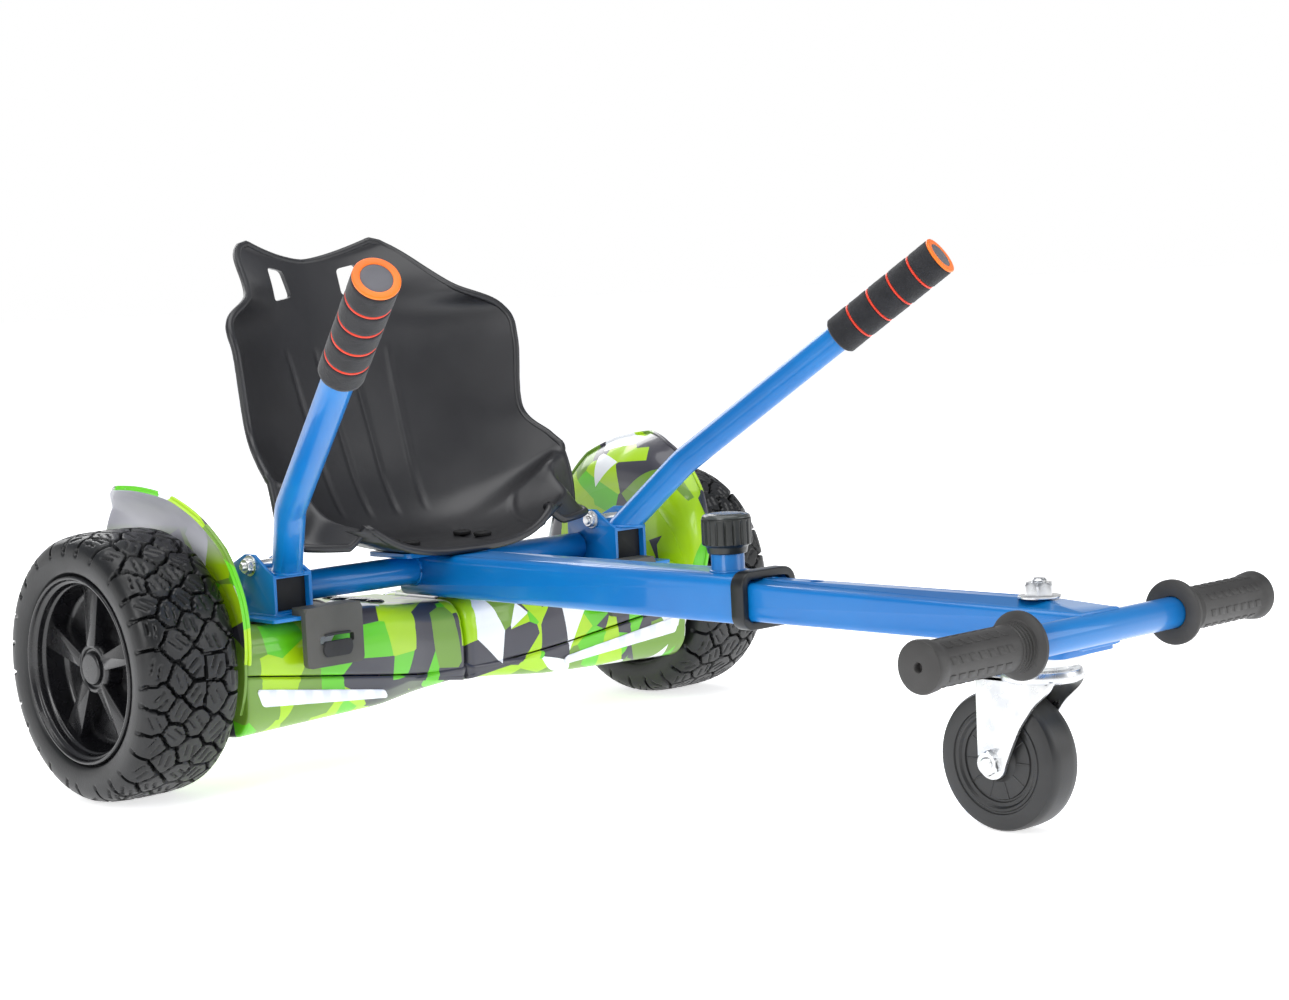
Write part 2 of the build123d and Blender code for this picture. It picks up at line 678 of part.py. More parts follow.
with BuildPart() as lever_bracket:
    with BuildSketch(along_y(BOX_REAR, (box_z0 + box_z1) / 2)):
        with Locations((box_mid_x, 0)):
            Rectangle(BOX_X1 - BOX_X0, BOX_H)
    extrude(amount=BOX_REAR - BOX_FRONT)
    with BuildSketch(along_y(BOX_REAR - BOX_WALL, (box_z0 + box_z1) / 2)):
        with Locations((box_mid_x, 0)):
            Rectangle(BOX_X1 - BOX_X0 - 2 * BOX_WALL, BOX_H - 2 * BOX_WALL)
    extrude(amount=BOX_REAR - BOX_FRONT, mode=Mode.SUBTRACT)
    with BuildSketch(Plane.XY.offset(box_z0 - FOOT_T)):
        with Locations(((FOOT_X0 + FOOT_X1) / 2, (FOOT_FRONT + FOOT_REAR) / 2)):
            RectangleRounded(FOOT_X1 - FOOT_X0, FOOT_REAR - FOOT_FRONT, 4)
    extrude(amount=FOOT_T)
    cheek = [
        (BOX_FRONT, box_z0),
        (BOX_FRONT, box_z1),
        (BOX_FRONT + 10, box_z1 + 5),
        (BOLT_Y - 4, CHEEK_TOP),
        (BOLT_Y + 8, CHEEK_TOP),
        (CHEEK_REAR, CHEEK_TOP - 12),
        (CHEEK_REAR, box_z0),
    ]
    for cheek_x in (BOX_X0, BOX_X1 - BOX_WALL):
        with BuildSketch(along_x(cheek_x, 0, 0)):
            Polygon(*cheek, align=None)
            with Locations((PIVOT_Y, PIVOT_Z)):
                Circle(BOLT_R + RUN, mode=Mode.SUBTRACT)
            with Locations((BOLT_Y, BOLT_Z)):
                Circle(CLAMP_BOLT_R + RUN, mode=Mode.SUBTRACT)
        extrude(amount=BOX_WALL)
    add(lever_clearance, mode=Mode.SUBTRACT)
save_pair(lever_bracket.part, "lever_bracket")

with BuildPart() as bracket_bolts:
    bolts = [
        (PIVOT_Y, PIVOT_Z, BOLT_R, CROSS_HALF - BORE_DEPTH + 2, BOX_X1),
        (BOLT_Y, BOLT_Z, CLAMP_BOLT_R, BOX_X0 - CLAMP_NUT_H - 3, BOX_X1),
    ]
    for bolt_y, bolt_z, bolt_r, x_tip, x_head in bolts:
        with BuildSketch(along_x(x_tip, bolt_y, bolt_z)):
            Circle(bolt_r)
        extrude(amount=x_head - x_tip)
        with BuildSketch(along_x(x_head, bolt_y, bolt_z)):
            RegularPolygon(1.7 * bolt_r, 6)
        extrude(amount=1.1 * bolt_r)
    with BuildSketch(along_x(BOX_X0 + BOX_WALL, PIVOT_Y, PIVOT_Z)):
        Circle(BOLT_R + 3)
    extrude(amount=BOX_X1 - BOX_X0 - 2 * BOX_WALL)
    with BuildSketch(along_x(BOX_X0, BOLT_Y, BOLT_Z)):
        RegularPolygon(1.7 * CLAMP_BOLT_R, 6)
    extrude(amount=-CLAMP_NUT_H)
save_pair(bracket_bolts.part, "bracket_bolts")

pad_z1 = box_z0 + STRAP_PAD_T
with BuildPart() as strap_pad:
    with BuildSketch(Plane.XY.offset(box_z0)):
        with Locations(((STRAP_X0 + STRAP_X1) / 2, (STRAP_REAR + FOOT_FRONT - STRAP_PAD_T) / 2)):
            RectangleRounded(STRAP_X1 - STRAP_X0, STRAP_REAR - FOOT_FRONT + STRAP_PAD_T, 3)
    extrude(amount=STRAP_PAD_T)
    with BuildSketch(along_y(FOOT_FRONT, (pad_z1 + STRAP_Z0) / 2)):
        with Locations(((STRAP_X0 + STRAP_X1) / 2, 0)):
            RectangleRounded(STRAP_X1 - STRAP_X0, pad_z1 - STRAP_Z0, 5)
        with Locations(((STRAP_X0 + STRAP_X1) / 2 - 2, -3)):
            RectangleRounded(SLOT_L, SLOT_H, 2, mode=Mode.SUBTRACT)
    extrude(amount=STRAP_PAD_T)
save_pair(strap_pad.part, "strap_pad")

with BuildPart() as grip_foam:
    with BuildSketch(along_lever(GRIP_LENGTH)):
        Circle(GRIP_R)
        Circle(LEVER_R + RUN, mode=Mode.SUBTRACT)
    extrude(amount=GRIP_LENGTH)
    for ring_place in range(GRIP_RINGS):
        with BuildSketch(along_lever(GRIP_LENGTH - GRIP_RING_PITCH * (ring_place + 1))):
            Circle(GRIP_R + 1)
            Circle(GRIP_R - GRIP_RING_DEPTH, mode=Mode.SUBTRACT)
        extrude(amount=GRIP_RING_W, mode=Mode.SUBTRACT)
save_pair(grip_foam.part, "grip_foam")

with BuildPart() as grip_rings:
    for ring_place in range(GRIP_RINGS):
        with BuildSketch(along_lever(GRIP_LENGTH - GRIP_RING_PITCH * (ring_place + 1))):
            Circle(GRIP_R - GRIP_RING_DEPTH / 3)
            Circle(GRIP_R - GRIP_RING_DEPTH + RUN, mode=Mode.SUBTRACT)
        extrude(amount=GRIP_RING_W)
    with BuildSketch(along_lever(0)):
        Circle(GRIP_R)
        Circle(GRIP_CAP_R, mode=Mode.SUBTRACT)
    extrude(amount=GRIP_END_T)
save_pair(grip_rings.part, "grip_rings")

with BuildPart() as grip_cap:
    with BuildSketch(along_lever(GRIP_PLUG)):
        Circle(LEVER_R - LEVER_WALL - RUN)
    extrude(amount=GRIP_PLUG)
    with BuildSketch(along_lever(0)):
        Circle(GRIP_CAP_R - RUN)
    extrude(amount=GRIP_END_T)
save_pair(grip_cap.part, "grip_cap")

# ---- kart frame -------------------------------------------------------------------------------
beam_mid_z = BEAM_Z0 + BEAM_H / 2
beam_top = BEAM_Z0 + BEAM_H
inner_w = BEAM_W - 2 * (TUBE_WALL + TUBE_SLIDE)
inner_h = BEAM_H - 2 * (TUBE_WALL + TUBE_SLIDE)
inner_top = beam_mid_z + inner_h / 2
inner_floor = beam_mid_z - inner_h / 2
tube_corner = TUBE_CORNER - TUBE_WALL - TUBE_SLIDE


def box_tube(y_rear, y_front, width, height, corner, wall):
    """A rounded rectangular tube along Y, centred on the beam's middle height."""
    with BuildPart() as tube:
        with BuildSketch(along_y(y_rear, beam_mid_z)):
            RectangleRounded(width, height, corner)
            RectangleRounded(width - 2 * wall, height - 2 * wall, corner - wall, mode=Mode.SUBTRACT)
        extrude(amount=y_rear - y_front)
    return tube.part


with BuildPart() as main_beam:
    add(box_tube(BEAM_REAR, BEAM_FRONT, BEAM_W, BEAM_H, TUBE_CORNER, TUBE_WALL))
    with BuildSketch(Plane.XY.offset(beam_top)):
        with Locations((0, (SEAT_PLATE_REAR + SEAT_PLATE_FRONT) / 2)):
            RectangleRounded(2 * SEAT_PLATE_X, SEAT_PLATE_REAR - SEAT_PLATE_FRONT, 6)
        with Locations(*[(x, y) for x in (-SEAT_BOLT_X, SEAT_BOLT_X) for y in SEAT_BOLT_Y]):
            Circle(SEAT_BOLT_R + RUN, mode=Mode.SUBTRACT)
    extrude(amount=SEAT_PLATE_T)
    with BuildSketch(Plane.XY.offset(beam_top)):
        with Locations((0, KNOB_Y)):
            Circle(BOSS_R)
    extrude(amount=BOSS_H)
    with BuildSketch(Plane.XY.offset(beam_top)):
        with Locations((0, KNOB_Y)):
            Circle(CHAMBER_R)
    extrude(amount=BOSS_H - BOSS_CAP_T, mode=Mode.SUBTRACT)
    with BuildSketch(Plane.XY.offset(beam_mid_z)):
        with Locations((0, KNOB_Y)):
            Circle(PIN_R + RUN)
    extrude(amount=BEAM_H, mode=Mode.SUBTRACT)
    with BuildSketch(along_x(-BEAM_W, PIVOT_Y, PIVOT_Z)):
        Circle(CROSS_R + FIT)
    extrude(amount=2 * BEAM_W, mode=Mode.SUBTRACT)
save(main_beam.part, "main_beam")

with BuildPart() as rear_crossbar:
    with BuildSketch(along_x(-CROSS_HALF, PIVOT_Y, PIVOT_Z)):
        Circle(CROSS_R)
        Circle(BOLT_R + RUN, mode=Mode.SUBTRACT)
    extrude(amount=2 * CROSS_HALF)
    with BuildSketch(along_x(-CROSS_HALF + BORE_DEPTH, PIVOT_Y, PIVOT_Z)):
        Circle(CROSS_R - TUBE_WALL)
    extrude(amount=2 * (CROSS_HALF - BORE_DEPTH), mode=Mode.SUBTRACT)
save(rear_crossbar.part, "rear_crossbar")

collar_front = BEAM_FRONT - COLLAR_T
with BuildPart() as beam_collar:
    with BuildSketch(along_y(BEAM_FRONT + COLLAR_L, beam_mid_z)):
        RectangleRounded(BEAM_W + 2 * COLLAR_T, BEAM_H + 2 * COLLAR_T, TUBE_CORNER + COLLAR_T)
        RectangleRounded(BEAM_W + 2 * RUN, BEAM_H + 2 * RUN, TUBE_CORNER, mode=Mode.SUBTRACT)
    extrude(amount=COLLAR_L)
    with BuildSketch(along_y(BEAM_FRONT, beam_mid_z)):
        RectangleRounded(BEAM_W + 2 * COLLAR_T, BEAM_H + 2 * COLLAR_T, TUBE_CORNER + COLLAR_T)
        RectangleRounded(inner_w + 2 * GAP, inner_h + 2 * GAP, tube_corner + GAP, mode=Mode.SUBTRACT)
    extrude(amount=COLLAR_T)
save(beam_collar.part, "beam_collar")

boss_top = beam_top + BOSS_H
collar_z = beam_top + GAP
with BuildPart() as pull_knob:
    with BuildSketch(Plane.XY.offset(boss_top + GAP)):
        with Locations((0, KNOB_Y)):
            Circle(KNOB_R - 3)
    extrude(amount=KNOB_SKIRT)
    with BuildSketch(Plane.XY.offset(boss_top + GAP + KNOB_SKIRT)):
        with Locations((0, KNOB_Y)):
            Circle(KNOB_R)
        with Locations((0, KNOB_Y)):
            with PolarLocations(KNOB_R + 1, KNOB_FLUTES):
                Circle(KNOB_FLUTE_R, mode=Mode.SUBTRACT)
    extrude(amount=KNOB_H - KNOB_SKIRT)
    with BuildSketch(Plane.XY.offset(inner_top + GAP)):
        with Locations((0, KNOB_Y)):
            Circle(PIN_R)
    extrude(amount=boss_top + 2 * GAP - inner_top)
    with BuildSketch(Plane.XY.offset(collar_z)):
        with Locations((0, KNOB_Y)):
            Circle(CHAMBER_R - GAP)
    extrude(amount=PIN_COLLAR_T)
save(pull_knob.part, "pull_knob")

spring_z0 = collar_z + PIN_COLLAR_T + SPRING_WIRE
spring_z1 = boss_top - BOSS_CAP_T - SPRING_WIRE
with BuildPart() as knob_spring:
    for turn in range(SPRING_TURNS):
        turn_z = spring_z0 + (spring_z1 - spring_z0) * turn / (SPRING_TURNS - 1)
        with Locations((0, KNOB_Y, turn_z)):
            Torus(SPRING_R, SPRING_WIRE)
save(knob_spring.part, "knob_spring")

# ---- front tube, peg bar and castor -----------------------------------------------------------
with BuildPart() as front_tube:
    add(box_tube(INNER_REAR, PEG_BAR_Y, inner_w, inner_h, tube_corner, TUBE_WALL))
    with BuildSketch(Plane.XY.offset(inner_floor - T_PLATE_T)):
        with Locations((0, (T_PLATE_REAR + T_PLATE_FRONT) / 2)):
            RectangleRounded(2 * T_PLATE_X, T_PLATE_REAR - T_PLATE_FRONT, 8)
    extrude(amount=T_PLATE_T)
    with BuildSketch(along_x(-BEAM_W, PEG_BAR_Y, PEG_BAR_Z)):
        Circle(PEG_BAR_R + RUN)
    extrude(amount=2 * BEAM_W, mode=Mode.SUBTRACT)
    with BuildSketch(Plane.XY.offset(beam_mid_z)):
        with Locations(*[(0, KNOB_Y + HOLE_STEP * step) for step in HOLE_STEPS]):
            Circle(PIN_R + HOLE_CLEAR)
    extrude(amount=BEAM_H, mode=Mode.SUBTRACT)
    with BuildSketch(Plane.XY.offset(inner_floor - T_PLATE_T - 1)):
        with Locations((0, KINGPIN_Y)):
            Circle(KINGPIN_R + RUN)
    extrude(amount=2 * BEAM_H, mode=Mode.SUBTRACT)
save(front_tube.part, "front_tube")

with BuildPart() as peg_bar:
    with BuildSketch(along_x(-PEG_HALF + PEG_END_T, PEG_BAR_Y, PEG_BAR_Z)):
        Circle(PEG_BAR_R)
        Circle(PEG_BAR_R - LEVER_WALL, mode=Mode.SUBTRACT)
    extrude(amount=2 * (PEG_HALF - PEG_END_T))
save(peg_bar.part, "peg_bar")

with BuildPart() as peg_grip:
    with BuildSketch(along_x(PEG_FLANGE_X, PEG_BAR_Y, PEG_BAR_Z)):
        Circle(PEG_GRIP_R)
    extrude(amount=PEG_HALF - PEG_FLANGE_X)
    with BuildSketch(along_x(PEG_FLANGE_X, PEG_BAR_Y, PEG_BAR_Z)):
        Circle(PEG_FLANGE_R)
    extrude(amount=PEG_FLANGE_T)
    with BuildSketch(along_x(PEG_FLANGE_X, PEG_BAR_Y, PEG_BAR_Z)):
        Circle(PEG_BAR_R + RUN)
    extrude(amount=PEG_HALF - PEG_END_T - PEG_FLANGE_X, mode=Mode.SUBTRACT)
    with BuildSketch(along_x(PEG_HALF, PEG_BAR_Y, PEG_BAR_Z)):
        Circle(PEG_VENT_R)
    extrude(amount=-PEG_END_T, mode=Mode.SUBTRACT)
save(Compound(children=[peg_grip.part, mirror(peg_grip.part, about=Plane.YZ)]), "peg_grips")

plate_top = inner_floor - T_PLATE_T
plate_low = plate_top - CASTOR_PLATE_T
with BuildPart() as castor_plate:
    with BuildSketch(Plane.XY.offset(plate_low)):
        with Locations((0, KINGPIN_Y)):
            Circle(CASTOR_PLATE_R)
            Circle(KINGPIN_R + RUN, mode=Mode.SUBTRACT)
    extrude(amount=CASTOR_PLATE_T)
save(castor_plate.part, "castor_plate")

with BuildPart() as kingpin:
    with BuildSketch(Plane.XY.offset(CROWN_Z - GAP)):
        with Locations((0, KINGPIN_Y)):
            RegularPolygon(KING_HEAD_R, 6)
    extrude(amount=-KING_HEAD_H)
    with BuildSketch(Plane.XY.offset(CROWN_Z - GAP)):
        with Locations((0, KINGPIN_Y)):
            Circle(KINGPIN_R)
    extrude(amount=inner_top + KING_TIP - CROWN_Z + GAP)
    with BuildSketch(Plane.XY.offset(inner_top)):
        with Locations((0, KINGPIN_Y)):
            Circle(KING_WASHER_R)
    extrude(amount=KING_WASHER_T)
    with BuildSketch(Plane.XY.offset(inner_top + KING_WASHER_T)):
        with Locations((0, KINGPIN_Y)):
            RegularPolygon(KING_HEAD_R, 6)
    extrude(amount=KING_NUT_H)
save(kingpin.part, "kingpin")

leg_x0 = CASTOR_W / 2 + FORK_GAP
with BuildPart() as castor_fork:
    with BuildSketch(Plane.XY.offset(CROWN_Z)):
        with Locations((0, KINGPIN_Y)):
            Circle(CROWN_R)
    extrude(amount=plate_low - GAP - CROWN_Z)
    for leg_x in (leg_x0, -leg_x0 - FORK_T):
        with BuildSketch(along_x(leg_x, 0, 0)):
            with Locations((CASTOR_Y, CASTOR_R)):
                Circle(LEG_FOOT_R)
            Polygon(
                (KINGPIN_Y - CROWN_R + 8, CROWN_Z + 2),
                (KINGPIN_Y + CROWN_R - 8, CROWN_Z + 2),
                (KINGPIN_Y + CROWN_R - 8, CROWN_Z),
                (KINGPIN_Y - CROWN_R + 8, CROWN_Z),
                align=None,
            )
            make_hull()
            with Locations((CASTOR_Y, CASTOR_R)):
                Circle(CASTOR_BOLT_R + RUN, mode=Mode.SUBTRACT)
        extrude(amount=FORK_T)
    with BuildSketch(Plane.XY.offset(CROWN_Z)):
        with Locations((0, KINGPIN_Y)):
            Circle(KINGPIN_R + RUN)
    extrude(amount=plate_low - CROWN_Z, mode=Mode.SUBTRACT)
save(castor_fork.part, "castor_fork")

leg_out = leg_x0 + FORK_T
with BuildPart() as castor_axle:
    with BuildSketch(along_x(-leg_out - CASTOR_NUT_H, CASTOR_Y, CASTOR_R)):
        Circle(CASTOR_BOLT_R)
    extrude(amount=2 * (leg_out + CASTOR_NUT_H))
    for nut_x in (leg_out, -leg_out - CASTOR_NUT_H):
        with BuildSketch(along_x(nut_x, CASTOR_Y, CASTOR_R)):
            RegularPolygon(1.6 * CASTOR_BOLT_R, 6)
        extrude(amount=CASTOR_NUT_H)
save(castor_axle.part, "castor_axle")

castor_half = CASTOR_W / 2
with BuildPart() as castor_wheel:
    with BuildSketch(Plane(origin=(0, CASTOR_Y, CASTOR_R), x_dir=(1, 0, 0), z_dir=(0, -1, 0))):
        Polygon(
            (-castor_half - FORK_GAP + GAP, CASTOR_BOLT_R + RUN),
            (-castor_half - FORK_GAP + GAP, 12),
            (-castor_half + 3, 15),
            (-castor_half + 3, 30),
            (-castor_half, 33),
            (-castor_half, CASTOR_R - 3),
            (-castor_half + 3, CASTOR_R),
            (castor_half - 3, CASTOR_R),
            (castor_half, CASTOR_R - 3),
            (castor_half, 33),
            (castor_half - 3, 30),
            (castor_half - 3, 15),
            (castor_half + FORK_GAP - GAP, 12),
            (castor_half + FORK_GAP - GAP, CASTOR_BOLT_R + RUN),
            align=None,
        )
    revolve(axis=Axis((0, CASTOR_Y, CASTOR_R), (1, 0, 0)))
save(castor_wheel.part, "castor_wheel")


# ---- seat -------------------------------------------------------------------------------------
def seat_section(station):
    """One closed cross-section of the seat, in the plane through its middle and edge points."""
    mid_y, mid_z, edge_y, edge_z, half_width, sharpness = station
    rise = Vector(0, edge_y - mid_y, edge_z - mid_z)
    origin = (0, mid_y, SEAT_BASE_Z + mid_z)
    plane = Plane(origin=origin, x_dir=(1, 0, 0), z_dir=Vector(1, 0, 0).cross(rise))
    top = []
    for sample in range(-SEAT_SAMPLES, SEAT_SAMPLES + 1):
        share = sample / SEAT_SAMPLES
        top.append((half_width * share, rise.length * abs(share) ** sharpness))
    low = []
    for sample in range(-SEAT_SAMPLES, SEAT_SAMPLES + 1):
        share = sample / SEAT_SAMPLES
        grade = sharpness * rise.length * abs(share) ** (sharpness - 1) / half_width
        grade = grade if share > 0 else -grade
        lean = (1 + grade**2) ** 0.5
        x, height = top[sample + SEAT_SAMPLES]
        low.append((x + SEAT_T * grade / lean, height - SEAT_T / lean))
    with BuildSketch(plane) as section:
        Polygon(*top, *reversed(low), align=None)
    return section.sketch


with BuildPart() as seat:
    loft([seat_section(station).face() for station in SEAT_STATIONS], ruled=True)
    with BuildSketch(along_y(SEAT_STATIONS[-1][0] + 20, STRAP_HOLE[1])):
        with Locations((-STRAP_HOLE[0], 0), (STRAP_HOLE[0], 0)):
            RectangleRounded(*STRAP_HOLE_SIZE, 3)
    extrude(amount=60, mode=Mode.SUBTRACT)
    with BuildSketch(Plane.XY.offset(beam_top)):
        with Locations(*[(x, y) for x in (-SEAT_BOLT_X, SEAT_BOLT_X) for y in SEAT_BOLT_Y]):
            Circle(SEAT_BOLT_R + FIT)
    extrude(amount=20, mode=Mode.SUBTRACT)
save(seat.part, "seat")

with BuildPart() as seat_bolts:
    seats = [(x, y) for x in (-SEAT_BOLT_X, SEAT_BOLT_X) for y in SEAT_BOLT_Y]
    with BuildSketch(Plane.XY.offset(beam_top)):
        with Locations(*seats):
            Circle(SEAT_BOLT_R)
    extrude(amount=SEAT_PLATE_T + SEAT_T + SEAT_BOLT_LIFT)
    with BuildSketch(Plane.XY.offset(beam_top + SEAT_PLATE_T + SEAT_T + SEAT_BOLT_LIFT)):
        with Locations(*seats):
            Circle(2 * SEAT_BOLT_R)
    extrude(amount=SEAT_BOLT_HEAD)
save(seat_bolts.part, "seat_bolts")
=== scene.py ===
"""Looks of the self balancing hoverboard with its kart seat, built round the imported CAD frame.

The mesh builders work in millimetres in the row frame and new_piece() turns them into metres.
The pieces of a board half are built for the left and mirrored across X = 0 for the right.
"""
import json
import math

import bmesh
import bpy
import numpy as np
from mathutils import Matrix, Vector

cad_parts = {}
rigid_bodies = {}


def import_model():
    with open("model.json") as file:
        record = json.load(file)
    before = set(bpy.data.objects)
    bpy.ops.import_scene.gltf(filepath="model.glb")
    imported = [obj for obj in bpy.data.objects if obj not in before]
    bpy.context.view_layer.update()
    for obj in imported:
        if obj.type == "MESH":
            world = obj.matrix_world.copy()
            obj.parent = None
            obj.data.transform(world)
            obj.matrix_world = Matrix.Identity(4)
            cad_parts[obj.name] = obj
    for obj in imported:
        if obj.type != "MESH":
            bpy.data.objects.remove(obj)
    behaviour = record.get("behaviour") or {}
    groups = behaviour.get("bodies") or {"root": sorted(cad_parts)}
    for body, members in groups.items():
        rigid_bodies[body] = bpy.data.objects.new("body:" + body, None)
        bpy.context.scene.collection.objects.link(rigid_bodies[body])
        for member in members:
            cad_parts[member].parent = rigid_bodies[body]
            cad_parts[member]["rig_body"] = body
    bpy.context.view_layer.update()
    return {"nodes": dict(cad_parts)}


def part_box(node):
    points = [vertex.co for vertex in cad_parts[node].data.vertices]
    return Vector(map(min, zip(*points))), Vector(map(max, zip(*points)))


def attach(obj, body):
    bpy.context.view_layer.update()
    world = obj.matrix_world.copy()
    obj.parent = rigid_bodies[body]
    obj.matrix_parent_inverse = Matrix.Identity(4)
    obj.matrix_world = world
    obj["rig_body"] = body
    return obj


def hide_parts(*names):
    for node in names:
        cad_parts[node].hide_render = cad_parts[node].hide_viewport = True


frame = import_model()

MM = 0.001
SIDES = (("left", 1), ("right", -1))
rng = np.random.default_rng(11)


# ---- frame measures ----
def span(node):
    """Lowest corner, highest corner and middle of a CAD node, in millimetres."""
    low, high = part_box(node)
    low, high = np.array(low) / MM, np.array(high) / MM
    return low, high, (low + high) / 2


TYRE_LOW, TYRE_HIGH, WHEEL_MID = span("left_tyre")
TYRE_R = (TYRE_HIGH[2] - TYRE_LOW[2]) / 2
HALF_TYRE = (TYRE_HIGH[0] - TYRE_LOW[0]) / 2
RIM_R = (span("left_rim")[1][2] - span("left_rim")[0][2]) / 2
WHEEL_X = WHEEL_MID[0]
UPPER_LOW, UPPER_HIGH, _ = span("left_upper_shell")
BODY_X0, BODY_X1 = UPPER_LOW[0], UPPER_HIGH[0]
BODY_DEPTH = UPPER_HIGH[1]
BODY_TOP = UPPER_HIGH[2]
BODY_LOW = span("left_lower_shell")[0][2]


# ---- materials ----
def srgb(r, g, b):
    """A linear colour from 0-255 display values."""
    def one(value):
        value = value / 255
        return value / 12.92 if value <= 0.04045 else ((value + 0.055) / 1.055) ** 2.4
    return (one(r), one(g), one(b), 1.0)


class Finish:
    """A Principled material with helpers that add procedural detail to it."""

    def __init__(self, name, rough, **sockets):
        self.material = bpy.data.materials.new(name)
        self.material.use_nodes = True
        self.tree = self.material.node_tree
        self.shader = self.tree.nodes["Principled BSDF"]
        self.shader.inputs["Roughness"].default_value = rough
        for socket, value in sockets.items():
            self.shader.inputs[socket.replace("_", " ")].default_value = value
        self.place = self.node("ShaderNodeTexCoord").outputs["Object"]
        self.bumps = None

    def node(self, kind, **settings):
        made = self.tree.nodes.new(kind)
        for key, value in settings.items():
            setattr(made, key, value)
        return made

    def link(self, source, target):
        self.tree.links.new(source, target)

    def mapped(self, scale=(1, 1, 1), turn=(0, 0, 0)):
        mapping = self.node("ShaderNodeMapping")
        mapping.inputs["Scale"].default_value = scale
        mapping.inputs["Rotation"].default_value = turn
        self.link(self.place, mapping.inputs["Vector"])
        return mapping.outputs["Vector"]

    def noise(self, scale, detail=2.0, vector=None):
        texture = self.node("ShaderNodeTexNoise")
        texture.inputs["Scale"].default_value = scale
        texture.inputs["Detail"].default_value = detail
        self.link(vector or self.place, texture.inputs["Vector"])
        return texture.outputs["Fac"]

    def cells(self, scale, vector=None, feature="F1", output="Color"):
        texture = self.node("ShaderNodeTexVoronoi", feature=feature)
        texture.inputs["Scale"].default_value = scale
        self.link(vector or self.place, texture.inputs["Vector"])
        return texture.outputs[output]

    def channel(self, colour, index):
        """One random number of a cell's colour."""
        parts = self.node("ShaderNodeSeparateColor")
        self.link(colour, parts.inputs["Color"])
        return parts.outputs[index]

    def ramp(self, source, stops, constant=False):
        ramp = self.node("ShaderNodeValToRGB")
        ramp.color_ramp.interpolation = "CONSTANT" if constant else "LINEAR"
        elements = ramp.color_ramp.elements
        elements[0].position, elements[0].color = stops[0]
        elements[1].position, elements[1].color = stops[-1]
        for position, colour in stops[1:-1]:
            elements.new(position).color = colour
        self.link(source, ramp.inputs["Fac"])
        return ramp.outputs["Color"]

    def mix(self, factor, a, b):
        mixer = self.node("ShaderNodeMix", data_type="RGBA")
        for socket, value in (("Factor", factor), ("A", a), ("B", b)):
            targets = [s for s in mixer.inputs if s.name == socket and s.enabled]
            target = targets[0] if socket == "Factor" else [s for s in targets if s.type == "RGBA"][0]
            if isinstance(value, bpy.types.NodeSocket):
                self.link(value, target)
            else:
                target.default_value = value
        return [s for s in mixer.outputs if s.type == "RGBA"][0]

    def colour(self, source):
        if isinstance(source, bpy.types.NodeSocket):
            self.link(source, self.shader.inputs["Base Color"])
        else:
            self.shader.inputs["Base Color"].default_value = source

    def mottle(self, dark, light, scale, detail=3.0):
        """Base colour that drifts between two close tones."""
        self.colour(self.ramp(self.noise(scale, detail), [(0.35, dark), (0.65, light)]))

    def rough_between(self, low, high, scale):
        spread = self.node("ShaderNodeMapRange")
        spread.inputs["To Min"].default_value = low
        spread.inputs["To Max"].default_value = high
        self.link(self.noise(scale, 4.0), spread.inputs["Value"])
        self.link(spread.outputs["Result"], self.shader.inputs["Roughness"])

    def bump(self, source, depth_mm):
        bump = self.node("ShaderNodeBump")
        bump.inputs["Distance"].default_value = depth_mm * MM
        bump.inputs["Strength"].default_value = 1.0
        self.link(source, bump.inputs["Height"])
        if self.bumps:
            self.link(self.bumps, bump.inputs["Normal"])
        self.bumps = bump.outputs["Normal"]
        self.link(self.bumps, self.shader.inputs["Normal"])


LIME = srgb(168, 212, 12)
GREEN = srgb(98, 200, 22)
OLIVE = srgb(112, 152, 52)
CHARCOAL = srgb(62, 61, 70)
WHITE = srgb(238, 241, 244)


def camo_print(finish):
    """Angular shards in five colours: two layers of stretched cells."""
    base = finish.cells(25.0, finish.mapped((1.0, 0.9, 1.25), (0.5, 0.4, 0.6)))
    stops = [(0.0, LIME), (0.27, OLIVE), (0.50, GREEN), (0.70, CHARCOAL), (0.94, WHITE)]
    ground = finish.ramp(finish.channel(base, 0), stops, constant=True)
    shard = finish.cells(24.0, finish.mapped((1.7, 1.2, 0.75), (0.3, 1.0, 0.2)))
    over_stops = [(0.0, WHITE), (0.07, CHARCOAL), (0.20, LIME), (0.30, GREEN), (0.38, OLIVE)]
    over = finish.ramp(finish.channel(shard, 1), over_stops, constant=True)
    shown = finish.ramp(finish.channel(shard, 1), [(0.0, (1, 1, 1, 1)), (0.44, (0, 0, 0, 1))], True)
    return finish.mix(shown, ground, over)


def camo_material():
    finish = Finish("camo_gloss", 0.3, Specular_IOR_Level=0.4, Coat_Weight=0.5, Coat_Roughness=0.05)
    finish.colour(camo_print(finish))
    finish.bump(finish.noise(240, 1.0), 0.05)
    return finish.material


def fender_inner_material():
    """The wheel side: bare pale plastic above, with the print running on below."""
    finish = Finish("fender_inside", 0.42, Coat_Weight=0.2, Coat_Roughness=0.3)
    height = finish.node("ShaderNodeSeparateXYZ")
    finish.link(finish.place, height.inputs["Vector"])
    spread = finish.node("ShaderNodeMapRange")
    spread.inputs["From Min"].default_value = 0.185
    spread.inputs["From Max"].default_value = 0.215
    finish.link(height.outputs["Z"], spread.inputs["Value"])
    pale = finish.ramp(finish.noise(14, 3), [(0.3, srgb(212, 212, 226)), (0.7, srgb(240, 240, 248))])
    finish.colour(finish.mix(spread.outputs["Result"], camo_print(finish), pale))
    finish.bump(finish.noise(300, 2.0), 0.06)
    return finish.material


